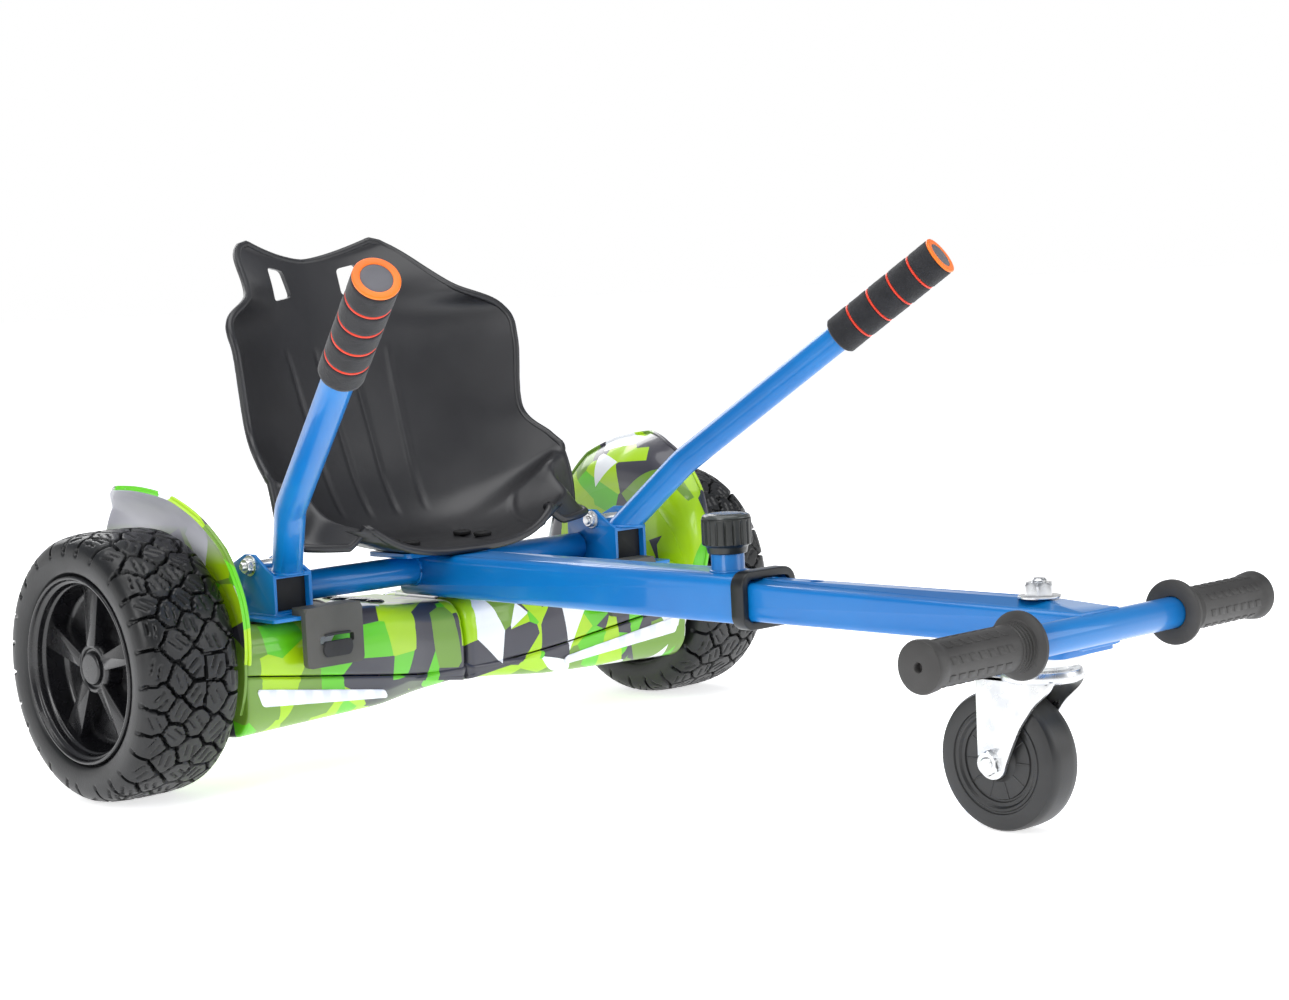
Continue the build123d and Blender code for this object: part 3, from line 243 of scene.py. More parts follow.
def plain(name, dark, light, rough, scale, spread, grains, **sockets):
    """Two close display tones, gloss that drifts over spread and grain as (scale, detail, depth)."""
    finish = Finish(name, rough, **sockets)
    finish.mottle(srgb(*dark), srgb(*light), scale)
    if spread:
        finish.rough_between(*spread)
    for grain_scale, detail, depth in grains:
        finish.bump(finish.noise(grain_scale, detail), depth)
    return finish.material


def plastic(name, dark, light, rough, grain_mm, grain_scale=900.0, **sockets):
    spread = (rough - 0.06, rough + 0.08, 60.0)
    return plain(name, dark, light, rough, 22.0, spread, [(grain_scale, 3.0, grain_mm)], **sockets)


def foam_material():
    finish = Finish("grip_foam_skin", 0.85, Sheen_Weight=0.15)
    finish.mottle(srgb(24, 24, 28), srgb(34, 34, 38), 90.0)
    finish.bump(finish.cells(900, output="Distance"), 0.25)
    finish.bump(finish.noise(260, 4.0), 0.3)
    return finish.material


def tyre_material():
    finish = Finish("tyre_rubber_look", 0.55)
    dust = finish.ramp(finish.noise(28, 5.0), [(0.42, srgb(13, 14, 15)), (0.75, srgb(27, 28, 30))])
    finish.colour(dust)
    finish.rough_between(0.24, 0.46, 45.0)
    finish.bump(finish.noise(700, 3.0), 0.12)
    return finish.material


def brushed_material():
    finish = Finish("machined_steel", 0.35, Metallic=1.0, Anisotropic=0.4)
    finish.mottle(srgb(150, 150, 150), srgb(186, 186, 184), 40.0)
    finish.bump(finish.noise(400, 2.0, finish.mapped((0.05, 1, 1))), 0.03)
    return finish.material


def led_material():
    """Milky lens over a row of small lamps."""
    finish = Finish("led_lens_look", 0.18, Coat_Weight=0.6, Emission_Strength=0.12)
    dots = finish.node("ShaderNodeTexWave", wave_type="BANDS", bands_direction="X")
    dots.inputs["Scale"].default_value = 17.0
    finish.link(finish.place, dots.inputs["Vector"])
    glow = finish.ramp(dots.outputs["Fac"], [(0.2, srgb(222, 227, 238)), (0.95, srgb(248, 250, 255))])
    finish.colour(glow)
    finish.link(glow, finish.shader.inputs["Emission Color"])
    finish.bump(finish.noise(350, 1.0), 0.05)
    return finish.material


def board_material():
    finish = Finish("circuit_board_look", 0.4, Coat_Weight=0.3)
    tracks = finish.cells(160, output="Distance")
    finish.colour(finish.ramp(tracks, [(0.25, srgb(20, 92, 44)), (0.6, srgb(12, 60, 30))]))
    finish.bump(tracks, 0.15)
    return finish.material


CAMO = camo_material()
FENDER_IN = fender_inner_material()
BLUE = plain("blue_gloss_paint", (0, 108, 184), (0, 120, 196), 0.34, 9.0, None, [(420, 1.5, 0.03)],
             Specular_IOR_Level=0.35, Coat_Weight=0.5, Coat_Roughness=0.06)
SEAT = plain("seat_moulding", (29, 29, 32), (36, 36, 39), 0.36, 12.0, (0.30, 0.44, 35.0),
             [(1500, 2.0, 0.05), (30, 2.0, 0.25)], Specular_IOR_Level=0.6)
FOAM = foam_material()
TYRE = tyre_material()
ZINC = plain("zinc_plate", (205, 207, 210), (240, 240, 238), 0.28, 60.0, (0.2, 0.38, 150.0),
             [(900, 2.0, 0.02)], Metallic=1.0)
STEEL = brushed_material()
ALUMINIUM = plain("cast_aluminium_look", (168, 170, 172), (196, 197, 198), 0.5, 70.0, None,
                  [(500, 4.0, 0.12)], Metallic=1.0)
LED = led_material()
BOARD = board_material()
WRAP = plain("battery_wrap_look", (28, 62, 150), (36, 78, 172), 0.3, 30.0, None, [(45, 3.0, 0.5)],
             Coat_Weight=0.4)
PAD = plastic("foot_pad_rubber", (30, 30, 33), (42, 42, 45), 0.55, 0.1)
OVAL = plastic("oval_gloss_rubber", (22, 22, 25), (30, 30, 33), 0.22, 0.03, Coat_Weight=0.5)
RIM = plastic("rim_satin", (13, 13, 15), (20, 20, 23), 0.26, 0.04, Coat_Weight=0.35)
ORANGE = plastic("orange_end", (250, 112, 18), (255, 128, 30), 0.35, 0.04)
RED = plastic("orange_ring", (215, 48, 22), (232, 60, 26), 0.35, 0.04)
CAP = plastic("grey_cap", (92, 92, 98), (106, 106, 112), 0.55, 0.06)
GRIP = plastic("peg_grip_rubber", (48, 47, 46), (60, 59, 58), 0.5, 0.08)
KNOB = plastic("knob_body", (26, 29, 27), (36, 39, 37), 0.30, 0.06)
KNOB_TOP = plastic("knob_top", (62, 66, 64), (80, 84, 82), 0.2, 0.03)
COLLAR = plastic("collar_black", (16, 18, 19), (24, 26, 27), 0.35, 0.05)
STRAP = plastic("strap_pad_rubber", (66, 66, 62), (78, 77, 73), 0.5, 0.08)
STRAP_DARK = plastic("strap_webbing", (36, 36, 38), (48, 48, 50), 0.8, 0.25, 1600.0)
CASTOR = plastic("castor_rubber_look", (34, 34, 34), (44, 44, 44), 0.36, 0.06)
SHADOW = plastic("slot_shadow", (12, 12, 13), (16, 16, 17), 0.7, 0.05)
PRONGS = plastic("socket_black", (24, 24, 26), (32, 32, 34), 0.4, 0.05)


# ---- mesh tools ----
def add_object(name, data):
    made = bpy.data.objects.new(name, data)
    bpy.context.scene.collection.objects.link(made)
    return made


def shade(mesh, crease):
    mesh.shade_smooth()
    mesh.set_sharp_from_angle(angle=math.radians(crease))


def new_piece(name, points, faces, material, body, nodes=(), slot=None, crease=38.0, mirrored=False):
    """A mesh object from millimetre points. mirrored builds it across X = 0."""
    points = np.array(points, float) * MM
    if mirrored:
        points[:, 0] *= -1
    mesh = bpy.data.meshes.new(name)
    mesh.from_pydata(points.tolist(), [], [list(face) for face in faces])
    edit = bmesh.new()
    edit.from_mesh(mesh)
    bmesh.ops.remove_doubles(edit, verts=edit.verts, dist=1e-6)
    bmesh.ops.recalc_face_normals(edit, faces=edit.faces)
    edit.to_mesh(mesh)
    edit.free()
    materials = material if isinstance(material, list) else [material]
    for each in materials:
        mesh.materials.append(each)
    piece = add_object(name, mesh)
    shade(mesh, crease)
    return settle(piece, body, nodes, slot)


def pair(name, shape, material, slot, crease, node=None, body="half"):
    """The left and right piece of a shape, standing for the CAD node of each side if one is named."""
    return [new_piece(f"{side}_{name}", *shape, material, f"{side}_{body}",
                      (f"{side}_{node}",) if node else (), slot, crease, sign < 0) for side, sign in SIDES]


def settle(piece, body, nodes=(), slot=None):
    """Tie a piece to its body and hide the CAD nodes it stands for. The slot argument is not used."""
    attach(piece, body)
    if nodes:
        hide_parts(*nodes)
    return piece


def harden(piece, crease=38.0):
    """Turn a piece's modifiers into its own mesh."""
    depsgraph = bpy.context.evaluated_depsgraph_get()
    mesh = bpy.data.meshes.new_from_object(piece.evaluated_get(depsgraph))
    piece.modifiers.clear()
    piece.data = mesh
    shade(mesh, crease)
    return piece


def soften(piece, width, segments=2, angle=35.0, crease=50.0):
    """Round the edges of a piece that are sharper than angle."""
    bevel = piece.modifiers.new("edges", "BEVEL")
    bevel.width = width * MM
    bevel.segments = segments
    bevel.limit_method = "ANGLE"
    bevel.angle_limit = math.radians(angle)
    return harden(piece, crease)


def refine(node, material, width, slot=None, crease=50.0, segments=2):
    """A copy of a CAD node with clean faces and rounded edges, in its place."""
    source = frame["nodes"][node]
    piece = add_object(node + "_look", source.data.copy())
    edit = bmesh.new()
    edit.from_mesh(piece.data)
    bmesh.ops.remove_doubles(edit, verts=edit.verts, dist=2e-6)
    bmesh.ops.dissolve_limit(edit, angle_limit=math.radians(0.8), verts=edit.verts, edges=edit.edges)
    edit.to_mesh(piece.data)
    edit.free()
    piece.data.materials.clear()
    piece.data.materials.append(material)
    soften(piece, width, segments, crease=crease)
    return settle(piece, source["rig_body"], (node,), slot)


def dress(node, material):
    for place in frame["nodes"][node].material_slots:
        place.material = material


def grid_faces(rows, columns, wrap_rows=False, wrap_columns=False, start=0):
    """Quads over a rows x columns lattice of points."""
    faces = []
    for i in range(rows if wrap_rows else rows - 1):
        for j in range(columns if wrap_columns else columns - 1):
            i1, j1 = (i + 1) % rows, (j + 1) % columns
            faces.append((start + i * columns + j, start + i * columns + j1,
                          start + i1 * columns + j1, start + i1 * columns + j))
    return faces


def end_faces(rows, columns):
    """The two faces that close the first and the last row of a lattice."""
    return [tuple(range(columns)), tuple(range(columns * (rows - 1), columns * rows))]


def border(rows, columns):
    """(row, column) round the edge of a lattice."""
    there = [(0, j) for j in range(columns)] + [(i, columns - 1) for i in range(1, rows)]
    back = [(rows - 1, j) for j in range(columns - 2, -1, -1)] + [(i, 0) for i in range(rows - 2, 0, -1)]
    return there + back


def circle(centre, radius, count, u=(1, 0, 0), v=(0, 1, 0)):
    """Points round a circle from u towards v."""
    turns = np.linspace(0, 2 * math.pi, count + 1)[:-1]
    return [Vector([c + radius * (a * math.cos(turn) + b * math.sin(turn)) for c, a,
                    b in zip(centre, u, v)])
            for turn in turns]


def along_axis(a, b):
    return abs(b[0] - a[0])


def divided(path, step, run=along_axis):
    """A 2-D path with its long stretches divided into steps."""
    dense = []
    for a, b in zip(path, path[1:]):
        count = max(1, int(run(a, b) / step))
        dense += [(a[0] + (b[0] - a[0]) * s / count,
                   a[1] + (b[1] - a[1]) * s / count) for s in range(count)]
    return dense + [path[-1]]


def axes_for(direction):
    """Two unit vectors square to a direction."""
    along = Vector(direction).normalized()
    side = along.cross(Vector((0, 0, 1)))
    if side.length < 1e-4:
        side = along.cross(Vector((0, 1, 0)))
    side.normalize()
    return along, side, side.cross(along)


def turned(profile, origin, direction, segments=64, wave=None):
    """Points and faces of a profile of (distance along, radius) turned about an axis.

    wave(angle, along, radius) may change the radius, as for flutes.
    """
    along, side, up = axes_for(direction)
    origin = Vector(origin)
    points = []
    for distance, radius in profile:
        for step in range(segments):
            angle = 2 * math.pi * step / segments
            r = wave(angle, distance, radius) if wave else radius
            spoke = side * math.cos(angle) + up * math.sin(angle)
            points.append(origin + along * distance + spoke * max(r, 0.001))
    faces = grid_faces(len(profile), segments, wrap_columns=True)
    return points, faces


def rounded(profile, radius, steps=3):
    """Round the corners of an open profile by small arcs."""
    result = [profile[0]]
    for before, corner, after in zip(profile, profile[1:], profile[2:]):
        corner = Vector(corner)
        a, b = Vector(before) - corner, Vector(after) - corner
        cut = min(radius, a.length * 0.45, b.length * 0.45)
        start, end = corner + a.normalized() * cut, corner + b.normalized() * cut
        for step in range(steps + 1):
            t = step / steps
            result.append(tuple(start * (1 - t) ** 2 + corner * 2 * t * (1 - t) + end * t ** 2))
    result.append(profile[-1])
    return result


def join(*shapes):
    """Several (points, faces) as one."""
    points, faces = [], []
    for more_points, more_faces in shapes:
        offset = len(points)
        points += list(more_points)
        faces += [tuple(offset + i for i in face) for face in more_faces]
    return points, faces


def swept(path, radius, segments=12, closed=False):
    """A round bar along a path, with flat ends unless it is closed."""
    path = [Vector(p) for p in path]
    points = []
    count = len(path)
    for i, here in enumerate(path):
        ahead = path[(i + 1) % count] if closed or i + 1 < count else here
        behind = path[i - 1] if closed or i > 0 else here
        _, side, up = axes_for(ahead - behind)
        for step in range(segments):
            angle = 2 * math.pi * step / segments
            spoke = side * math.cos(angle) + up * math.sin(angle)
            points.append(here + spoke * radius)
    faces = grid_faces(count, segments, wrap_rows=closed, wrap_columns=True)
    return points, faces if closed else faces + end_faces(count, segments)


def prism(outline, low, high, bevel, place):
    """A plate over a closed outline with bevelled upper edges; place maps (u, v, height) to a point."""
    outline = [Vector(p) for p in outline]
    count = len(outline)
    area = sum(outline[i - 1].x * p.y - p.x * outline[i - 1].y for i, p in enumerate(outline))
    if area < 0:
        outline.reverse()

    def inset(amount):
        ring = []
        for i, p in enumerate(outline):
            a = (p - outline[i - 1]).normalized()
            b = (outline[(i + 1) % count] - p).normalized()
            normal = Vector((-(a.y + b.y), a.x + b.x))
            normal = normal / max(normal.length_squared / 2, 0.35)
            ring.append(p + normal * amount)
        return ring

    levels = [(0.0, low), (0.0, high - bevel), (0.3 * bevel, high - 0.3 * bevel), (bevel, high)]
    points = [place(p.x, p.y, z) for amount, z in levels for p in inset(amount)]
    return points, grid_faces(len(levels), count, wrap_columns=True) + end_faces(len(levels), count)


def rounded_outline(corners, radius, steps=4):
    """A closed 2-D outline with rounded corners."""
    closed = [corners[-1], *corners, corners[0]]
    return rounded(closed, radius, steps)[1:-1]


def box_outline(width, height, radius, middle=(0, 0)):
    x, y = width / 2, height / 2
    corners = [(-x, -y), (x, -y), (x, y), (-x, y)]
    return [(a + middle[0], b + middle[1]) for a, b in rounded_outline(corners, radius)]


def flat_z(u, v, z):
    return Vector((u, v, z))


def hex_bolt(origin, direction, radius, height, washer=0.0, stud=0.0):
    """A chamfered hexagon head or nut, with a washer under it and a threaded stud out of it."""
    along = Vector(direction).normalized()
    origin = Vector(origin)
    shapes = []
    if washer:
        rim = rounded([(0, 0), (0, washer), (1.6, washer), (1.6, 0)], 0.4)
        shapes.append(turned(rim, origin, direction, 40))
    head = [(0.0, 0.0), (0.0, radius), (height * 0.78, radius), (height, radius * 0.84), (height, 0.0)]

    def hexagon(angle, distance, r):
        if r <= radius * 0.85:
            return r
        turn = (angle + math.pi / 6) % (math.pi / 3) - math.pi / 6
        return min(r, radius * math.cos(math.pi / 6) / math.cos(turn)) if r > 0 else r

    start = origin + along * (1.6 if washer else 0.0)
    shapes.append(turned(head, start, direction, 48, hexagon))
    if stud:
        profile = [(height, radius * 0.5)]
        turns = max(2, int(stud / 1.2))
        for turn in range(turns):
            base = height + stud * turn / turns
            profile += [(base, radius * 0.52), (base + stud / turns / 2, radius * 0.44)]
        profile += [(height + stud, radius * 0.4), (height + stud, 0.0)]
        shapes.append(turned(profile, start, direction, 32))
    return join(*shapes)


def weld(points, radius=1.6):
    """A slightly lumpy bead along a closed loop."""
    lumps = []
    count = len(points)
    for i, p in enumerate(points):
        lumps.append(Vector(p) + Vector((0, 0, 0.25 * math.sin(i * 2.1))))
    return swept(lumps, radius, 8, closed=count > 2)


def smoothstep(x):
    x = np.clip(x, 0, 1)
    return x * x * (3 - 2 * x)


# ---- camera, floor and lights ----
LENS = 69.67
CAMERA_PLACE = (-1.3689, -1.7241, 0.3928)
CAMERA_TURN = (-43.816, 4.982, -2.672)  # azimuth, elevation and roll in degrees


def make_camera():
    data = bpy.data.cameras.new("camera")
    data.sensor_width, data.lens = 36.0, LENS
    camera = add_object("camera", data)
    azimuth, elevation, roll = (math.radians(angle) for angle in CAMERA_TURN)
    back = Vector((math.sin(azimuth) * math.cos(elevation), -math.cos(azimuth) * math.cos(elevation),
                   math.sin(elevation)))
    right = (-back).cross(Vector((0, 0, 1))).normalized()
    up = right.cross(-back)
    level_right, level_up = right.copy(), up.copy()
    right = level_right * math.cos(roll) + level_up * math.sin(roll)
    up = -level_right * math.sin(roll) + level_up * math.cos(roll)
    turn = Matrix((right, up, back)).transposed().to_4x4()
    camera.matrix_world = Matrix.Translation(CAMERA_PLACE) @ turn
    data.clip_start, data.clip_end = 0.05, 100.0
    bpy.context.scene.camera = camera


def make_floor():
    """A pale floor that runs out to the horizon."""
    rings = [(0.0, 0.0), (0.0, 2.0), (0.0, 8.0), (0.0, 90.0)]
    points, faces = turned(rings, (0, 0, 0), (0, 0, 1), 96)
    mesh = bpy.data.meshes.new("studio_floor")
    mesh.from_pydata([tuple(p) for p in points], [], faces)
    floor = add_object("studio_floor", mesh)
    finish = Finish("studio_white", 0.9)
    finish.mottle(srgb(246, 246, 247), srgb(250, 250, 250), 0.8)
    finish.shader.inputs["Emission Color"].default_value = (1, 1, 1, 1)
    finish.shader.inputs["Emission Strength"].default_value = 0.7
    mesh.materials.append(finish.material)
    shade(mesh, 60)


def make_light(name, place, aim, size, power, tint=(1, 1, 1)):
    data = bpy.data.lights.new(name, "AREA")
    data.shape = "RECTANGLE"
    data.size, data.size_y = size
    data.energy = power
    data.color = tint
    light = add_object(name, data)
    light.location = place
    light.rotation_mode = "QUATERNION"
    light.rotation_quaternion = (Vector(aim) - Vector(place)).to_track_quat("-Z", "Y")


def make_studio():
    make_camera()
    make_floor()
    world = bpy.data.worlds.new("studio")
    world.use_nodes = True
    sky = world.node_tree.nodes["Background"]
    place = world.node_tree.nodes.new("ShaderNodeTexCoord")
    parts = world.node_tree.nodes.new("ShaderNodeSeparateXYZ")
    fade = world.node_tree.nodes.new("ShaderNodeValToRGB")
    fade.color_ramp.elements[0].position = 0.14
    fade.color_ramp.elements[0].color = (1.0, 1.0, 1.0, 1.0)
    fade.color_ramp.elements[1].position = 0.34
    fade.color_ramp.elements[1].color = (0.30, 0.31, 0.33, 1.0)
    world.node_tree.links.new(place.outputs["Generated"], parts.inputs["Vector"])
    world.node_tree.links.new(parts.outputs["Z"], fade.inputs["Fac"])
    world.node_tree.links.new(fade.outputs["Color"], sky.inputs["Color"])
    sky.inputs["Strength"].default_value = 1.0
    bpy.context.scene.world = world
    middle = (0.0, -0.3, 0.2)
    make_light("overhead", (-0.2, -0.4, 2.6), middle, (2.6, 2.2), 42.0)
    make_light("key_left", (-2.6, -1.0, 1.7), middle, (1.2, 1.8), 30.0)
    make_light("fill_right", (1.6, -2.6, 1.2), middle, (1.4, 1.4), 14.0)
    make_light("rim_back", (0.9, 2.4, 1.6), middle, (2.4, 1.0), 26.0)
    bpy.context.scene.view_settings.view_transform = "Standard"


make_studio()


# ---- drive wheels ----
TREAD_CELLS = 27  # pattern repeats round the tyre
TREAD_ROWS = 5
TREAD_DEPTH = 4.2
GROOVE = 1.05  # half width of the grooves between blocks
SIPE_DEPTH = 1.6
TYRE_ROWS, TYRE_COLUMNS = 620, 112  # lattice round the tyre and across it


def tread_field(around, across):
    """Height below the tread surface on a lattice, both measured along the tyre in millimetres."""
    girth = 2 * math.pi * TYRE_R
    pitch = girth / TREAD_CELLS
    row_gap = 2 * HALF_TYRE / TREAD_ROWS
    seeds = []
    jitter = rng.uniform(-0.27, 0.27, (TREAD_CELLS, TREAD_ROWS, 2))
    for i in range(TREAD_CELLS):
        for row in range(TREAD_ROWS):
            shift = 0.5 if row % 2 else 0.0
            seeds.append(((i + shift + jitter[i, row, 0]) * pitch,
                          (row - (TREAD_ROWS - 1) / 2 + jitter[i, row, 1] * 0.8) * row_gap))
    seeds = np.array(seeds)
    lean = rng.uniform(-0.9, 0.9, len(seeds))
    point = np.stack([around.ravel(), across.ravel()], 1)
    gap = point[:, None, :] - seeds[None, :, :]
    gap[:, :, 0] = (gap[:, :, 0] + girth / 2) % girth - girth / 2
    reach = np.abs(gap[:, :, 0]) * 0.95 + np.abs(gap[:, :, 1]) * 0.55
    reach = np.maximum(reach, np.abs(gap[:, :, 0]) * 0.5 + np.abs(gap[:, :, 1]))
    order = np.argpartition(reach, 1, axis=1)[:, :2]
    pair = np.take_along_axis(reach, order, 1)
    nearest = order[np.arange(len(order)), pair.argmin(1)]
    edge = np.abs(pair[:, 0] - pair[:, 1]) / 2
    depth = TREAD_DEPTH * (1 - smoothstep((edge - GROOVE * 0.6) / (GROOVE * 0.7)))
    local = gap[np.arange(len(nearest)), nearest]
    turn = lean[nearest]
    u = local[:, 0] * np.cos(turn) + local[:, 1] * np.sin(turn)
    v = -local[:, 0] * np.sin(turn) + local[:, 1] * np.cos(turn)
    for offset in (-3.2, 3.2):
        slit = (1 - smoothstep((np.abs(v - offset) - 0.25) / 0.8)) * (np.abs(u + offset * 0.5) < 6.0)
        depth = np.maximum(depth, SIPE_DEPTH * slit)
    return depth.reshape(around.shape)


def tyre_profile():
    """(distance outboard, radius) along the tyre from one bead over the tread to the other."""
    edge = HALF_TYRE
    half = [(edge - 7, RIM_R - 1.5), (edge - 5, RIM_R + 1.0), (edge - 2.5, RIM_R + 1.4),
            (edge - 1.6, RIM_R + 3.5),
            (edge - 0.4, RIM_R + 9), (edge, RIM_R + 15), (edge - 0.8, TYRE_R - 11.5),
            (edge - 3.5, TYRE_R - 6.5),
            (edge - 9, TYRE_R - 2.6), (edge - 18, TYRE_R - 0.8), (edge - 30, TYRE_R - 0.1), (0, TYRE_R)]
    points = np.array([(-t, r) for t, r in half] + [(t, r) for t, r in half[-2::-1]])
    run = np.concatenate([[0], np.cumsum(np.hypot(*np.diff(points, axis=0).T))])
    return points, run


def make_tyre():
    profile, run = tyre_profile()
    along = np.linspace(0, run[-1], TYRE_COLUMNS)
    t = np.interp(along, run, profile[:, 0])
    r = np.interp(along, run, profile[:, 1])
    kernel = np.array([0.25, 0.5, 0.25])
    for _ in range(3):
        t[1:-1] = np.convolve(t, kernel, "valid")
        r[1:-1] = np.convolve(r, kernel, "valid")
    normal = np.stack([np.gradient(r), -np.gradient(t)], 1)
    normal /= np.linalg.norm(normal, axis=1)[:, None]
    angle = np.linspace(0, 2 * math.pi, TYRE_ROWS, endpoint=False)
    middle = along - run[-1] / 2
    around, across = np.meshgrid(angle * TYRE_R, middle, indexing="ij")
    depth = tread_field(around, across)
    shoulder = smoothstep((r - (TYRE_R - 17)) / 5.0)
    depth = depth * shoulder[None, :]
    t_all = t[None, :] + depth * normal[None, :, 0]
    r_all = r[None, :] + depth * normal[None, :, 1]
    x = WHEEL_X + t_all
    y = r_all * np.cos(angle)[:, None]
    z = TYRE_R + r_all * np.sin(angle)[:, None]
    points = np.stack([x, y, z], 2).reshape(-1, 3)
    return points, grid_faces(TYRE_ROWS, TYRE_COLUMNS, wrap_rows=True)


SPOKES = 5
DISC_T = 12.0  # the deep face behind the spokes, outboard of the wheel's middle
SPOKE_TOP = 29.0
HUB_R = 21.0


def make_rim():
    """Deep barrel with a stepped lip, five box spokes and a hub cap."""
    centre = (WHEEL_X, 0, TYRE_R)
    lip = span("left_rim")[1][0] - WHEEL_X
    barrel = [(-lip, RIM_R - 6), (-lip, RIM_R - 0.4), (lip - 3, RIM_R - 0.2), (lip, RIM_R - 0.2),
              (lip + 2.4, RIM_R - 1.2),
              (lip + 2.4, RIM_R - 3.4), (lip - 1.5, RIM_R - 4.4), (lip - 2.5, RIM_R - 7.0),
              (lip - 8, RIM_R - 7.6),
              (lip - 9.5, RIM_R - 9.4), (SPOKE_TOP - 6, RIM_R - 10.0), (DISC_T + 2, RIM_R - 12.0),
              (DISC_T, RIM_R - 15.0),
              (DISC_T - 1, HUB_R + 12), (DISC_T + 1.5, HUB_R + 6), (DISC_T + 2, 0)]
    shapes = [turned(rounded(barrel, 1.6), centre, (1, 0, 0), 120)]
    hub = [(DISC_T, HUB_R + 1), (SPOKE_TOP - 4, HUB_R), (SPOKE_TOP - 1, HUB_R - 1.5),
           (SPOKE_TOP - 0.5, 16.5),
           (SPOKE_TOP - 3, 15.5), (SPOKE_TOP - 3, 13.4), (SPOKE_TOP + 0.6, 13.0), (SPOKE_TOP + 1.5, 11.4),
           (SPOKE_TOP + 1.5, 0)]
    shapes.append(turned(rounded(hub, 1.0), centre, (1, 0, 0), 64))
    for spoke in range(SPOKES):
        angle = math.pi / 2 + 2 * math.pi * spoke / SPOKES
        out = Vector((0, math.cos(angle), math.sin(angle)))
        side = Vector((0, -math.sin(angle), math.cos(angle)))

        def place(u, v, height, out=out, side=side):
            drop = 4.5 * max(0.0, (u - HUB_R) / (RIM_R - HUB_R)) if height > DISC_T + 6 else 0.0
            return Vector(centre) + out * u + side * v + Vector((height - drop, 0, 0))

        bar = rounded_outline([(HUB_R - 4, -6.0), (RIM_R - 9, -11.0), (RIM_R - 9, 11.0),
                               (HUB_R - 4, 6.0)], 1.5)
        shapes.append(prism(bar, DISC_T - 2, SPOKE_TOP, 1.4, place))
    return join(*shapes)


def make_wheels():
    pair("tyre_tread", make_tyre(), TYRE, "tyre_rubber", 55, "tyre", "wheel")
    pair("rim_cast", make_rim(), RIM, "rim_black", 40, "rim", "wheel")


make_wheels()


# ---- board casings ----
STATION_X = np.array([BODY_X0, 45.0, 95.0, BODY_X1])
STATION_DEPTH = BODY_DEPTH - np.array([24.0, 22.0, 10.0, 0.0])
STATION_LOW = BODY_LOW + np.array([10.0, 7.0, 3.0, 0.0])
STATION_TOP = BODY_TOP - np.array([8.0, 6.0, 0.0, 0.0])
STATION_CORNER = np.array([20.0, 20.0, 18.0, 16.0])
SPLIT_Z = 62.0
SPLIT_RISE = math.tan(math.radians(8.0))
SEAM_ROUND = 7.0
END_ROUND = 3.0
FRONT_BULGE = 2.2
SHELL_WALL = 2.4
TOP_CROWN = 0.1
SPLIT_GAP = 0.5  # half the gap at the split line


def station(x, values):
    """A casing measure at x, eased over the breaks between stations."""
    spread = np.linspace(-9, 9, 7)
    return float(np.mean(np.interp(np.clip(x + spread, BODY_X0, BODY_X1), STATION_X, values)))


def end_inset(x):
    """How far the rounded ends draw the casing in at x."""
    for distance, radius in ((x - BODY_X0, SEAM_ROUND), (BODY_X1 - x, END_ROUND)):
        if distance < radius:
            return radius - math.sqrt(max(0.0, radius ** 2 - (radius - distance) ** 2))
    return 0.0


def split_z(x):
    return SPLIT_Z + SPLIT_RISE * x


def casing_stations():
    middle = np.linspace(BODY_X0 + SEAM_ROUND, BODY_X1 - END_ROUND, 44)
    return [BODY_X0 + SEAM_ROUND * share for share in (0.0, 0.04, 0.16, 0.35, 0.62)] + list(middle) + \
        [BODY_X1 - END_ROUND * share for share in (0.6, 0.3, 0.1, 0.0)]


def half_outline(x, upper):
    """(y, z) from the split line round to the middle of the top or of the underside, at the front."""
    inset = end_inset(x)
    depth = station(x, STATION_DEPTH) - inset
    line = split_z(x)
    outline = []
    if upper:
        top = station(x, STATION_TOP) - inset
        corner = station(x, STATION_CORNER)
        low = line + SPLIT_GAP
        outline.append((-(depth - 1.2), low))
        for share in np.linspace(0.03, 1, 11):
            bulge = FRONT_BULGE * math.sin(math.pi * share) ** 0.7
            outline.append((-(depth + bulge), low + (top - corner - low) * share))
        for angle in np.linspace(0, math.pi / 2, 11)[1:]:
            y = depth - corner + corner * math.cos(angle)
            outline.append((-y, top - corner + corner * math.sin(angle)))
        for share in (0.25, 0.5, 0.75, 1.0):
            outline.append((-(depth - corner) * (1 - share),
                            top + TOP_CROWN * math.sin(share * math.pi / 2)))
        return outline
    low = station(x, STATION_LOW) + inset
    line -= SPLIT_GAP
    outline += [(-(depth - 0.6), line), (-(depth + 0.9), line - 1.2), (-(depth + 1.0), line - 3.0),
                (-(depth + 0.1), line - 5.0)]
    chamfer = [(-depth, line - 5.0), (-(depth - 0.5), low + 17), (-(depth - 13), low + 2.5),
               (-(depth - 30), low), (0, low)]
    soft = rounded(chamfer, 9.0, 5)
    return outline + soft[1:]


def make_casing(upper):
    """Skin of one casing half as a shell open at the split line, closed at both ends."""
    points, rows = [], casing_stations()
    for x in rows:
        front = half_outline(x, upper)
        outline = front + [(-y, z) for y, z in front[-2::-1]]
        points += [Vector((x, y, z)) for y, z in outline]
    count = len(points) // len(rows)
    return points, grid_faces(len(rows), count) + end_faces(len(rows), count)


def outward(piece, middle):
    """Point the faces of an open skin away from a middle point in metres."""
    edit = bmesh.new()
    edit.from_mesh(piece.data)
    middle = Vector(middle)
    score = sum((face.calc_center_median() - middle).dot(face.normal) * face.calc_area()
                for face in edit.faces)
    if score < 0:
        bmesh.ops.reverse_faces(edit, faces=edit.faces)
    edit.to_mesh(piece.data)
    edit.free()


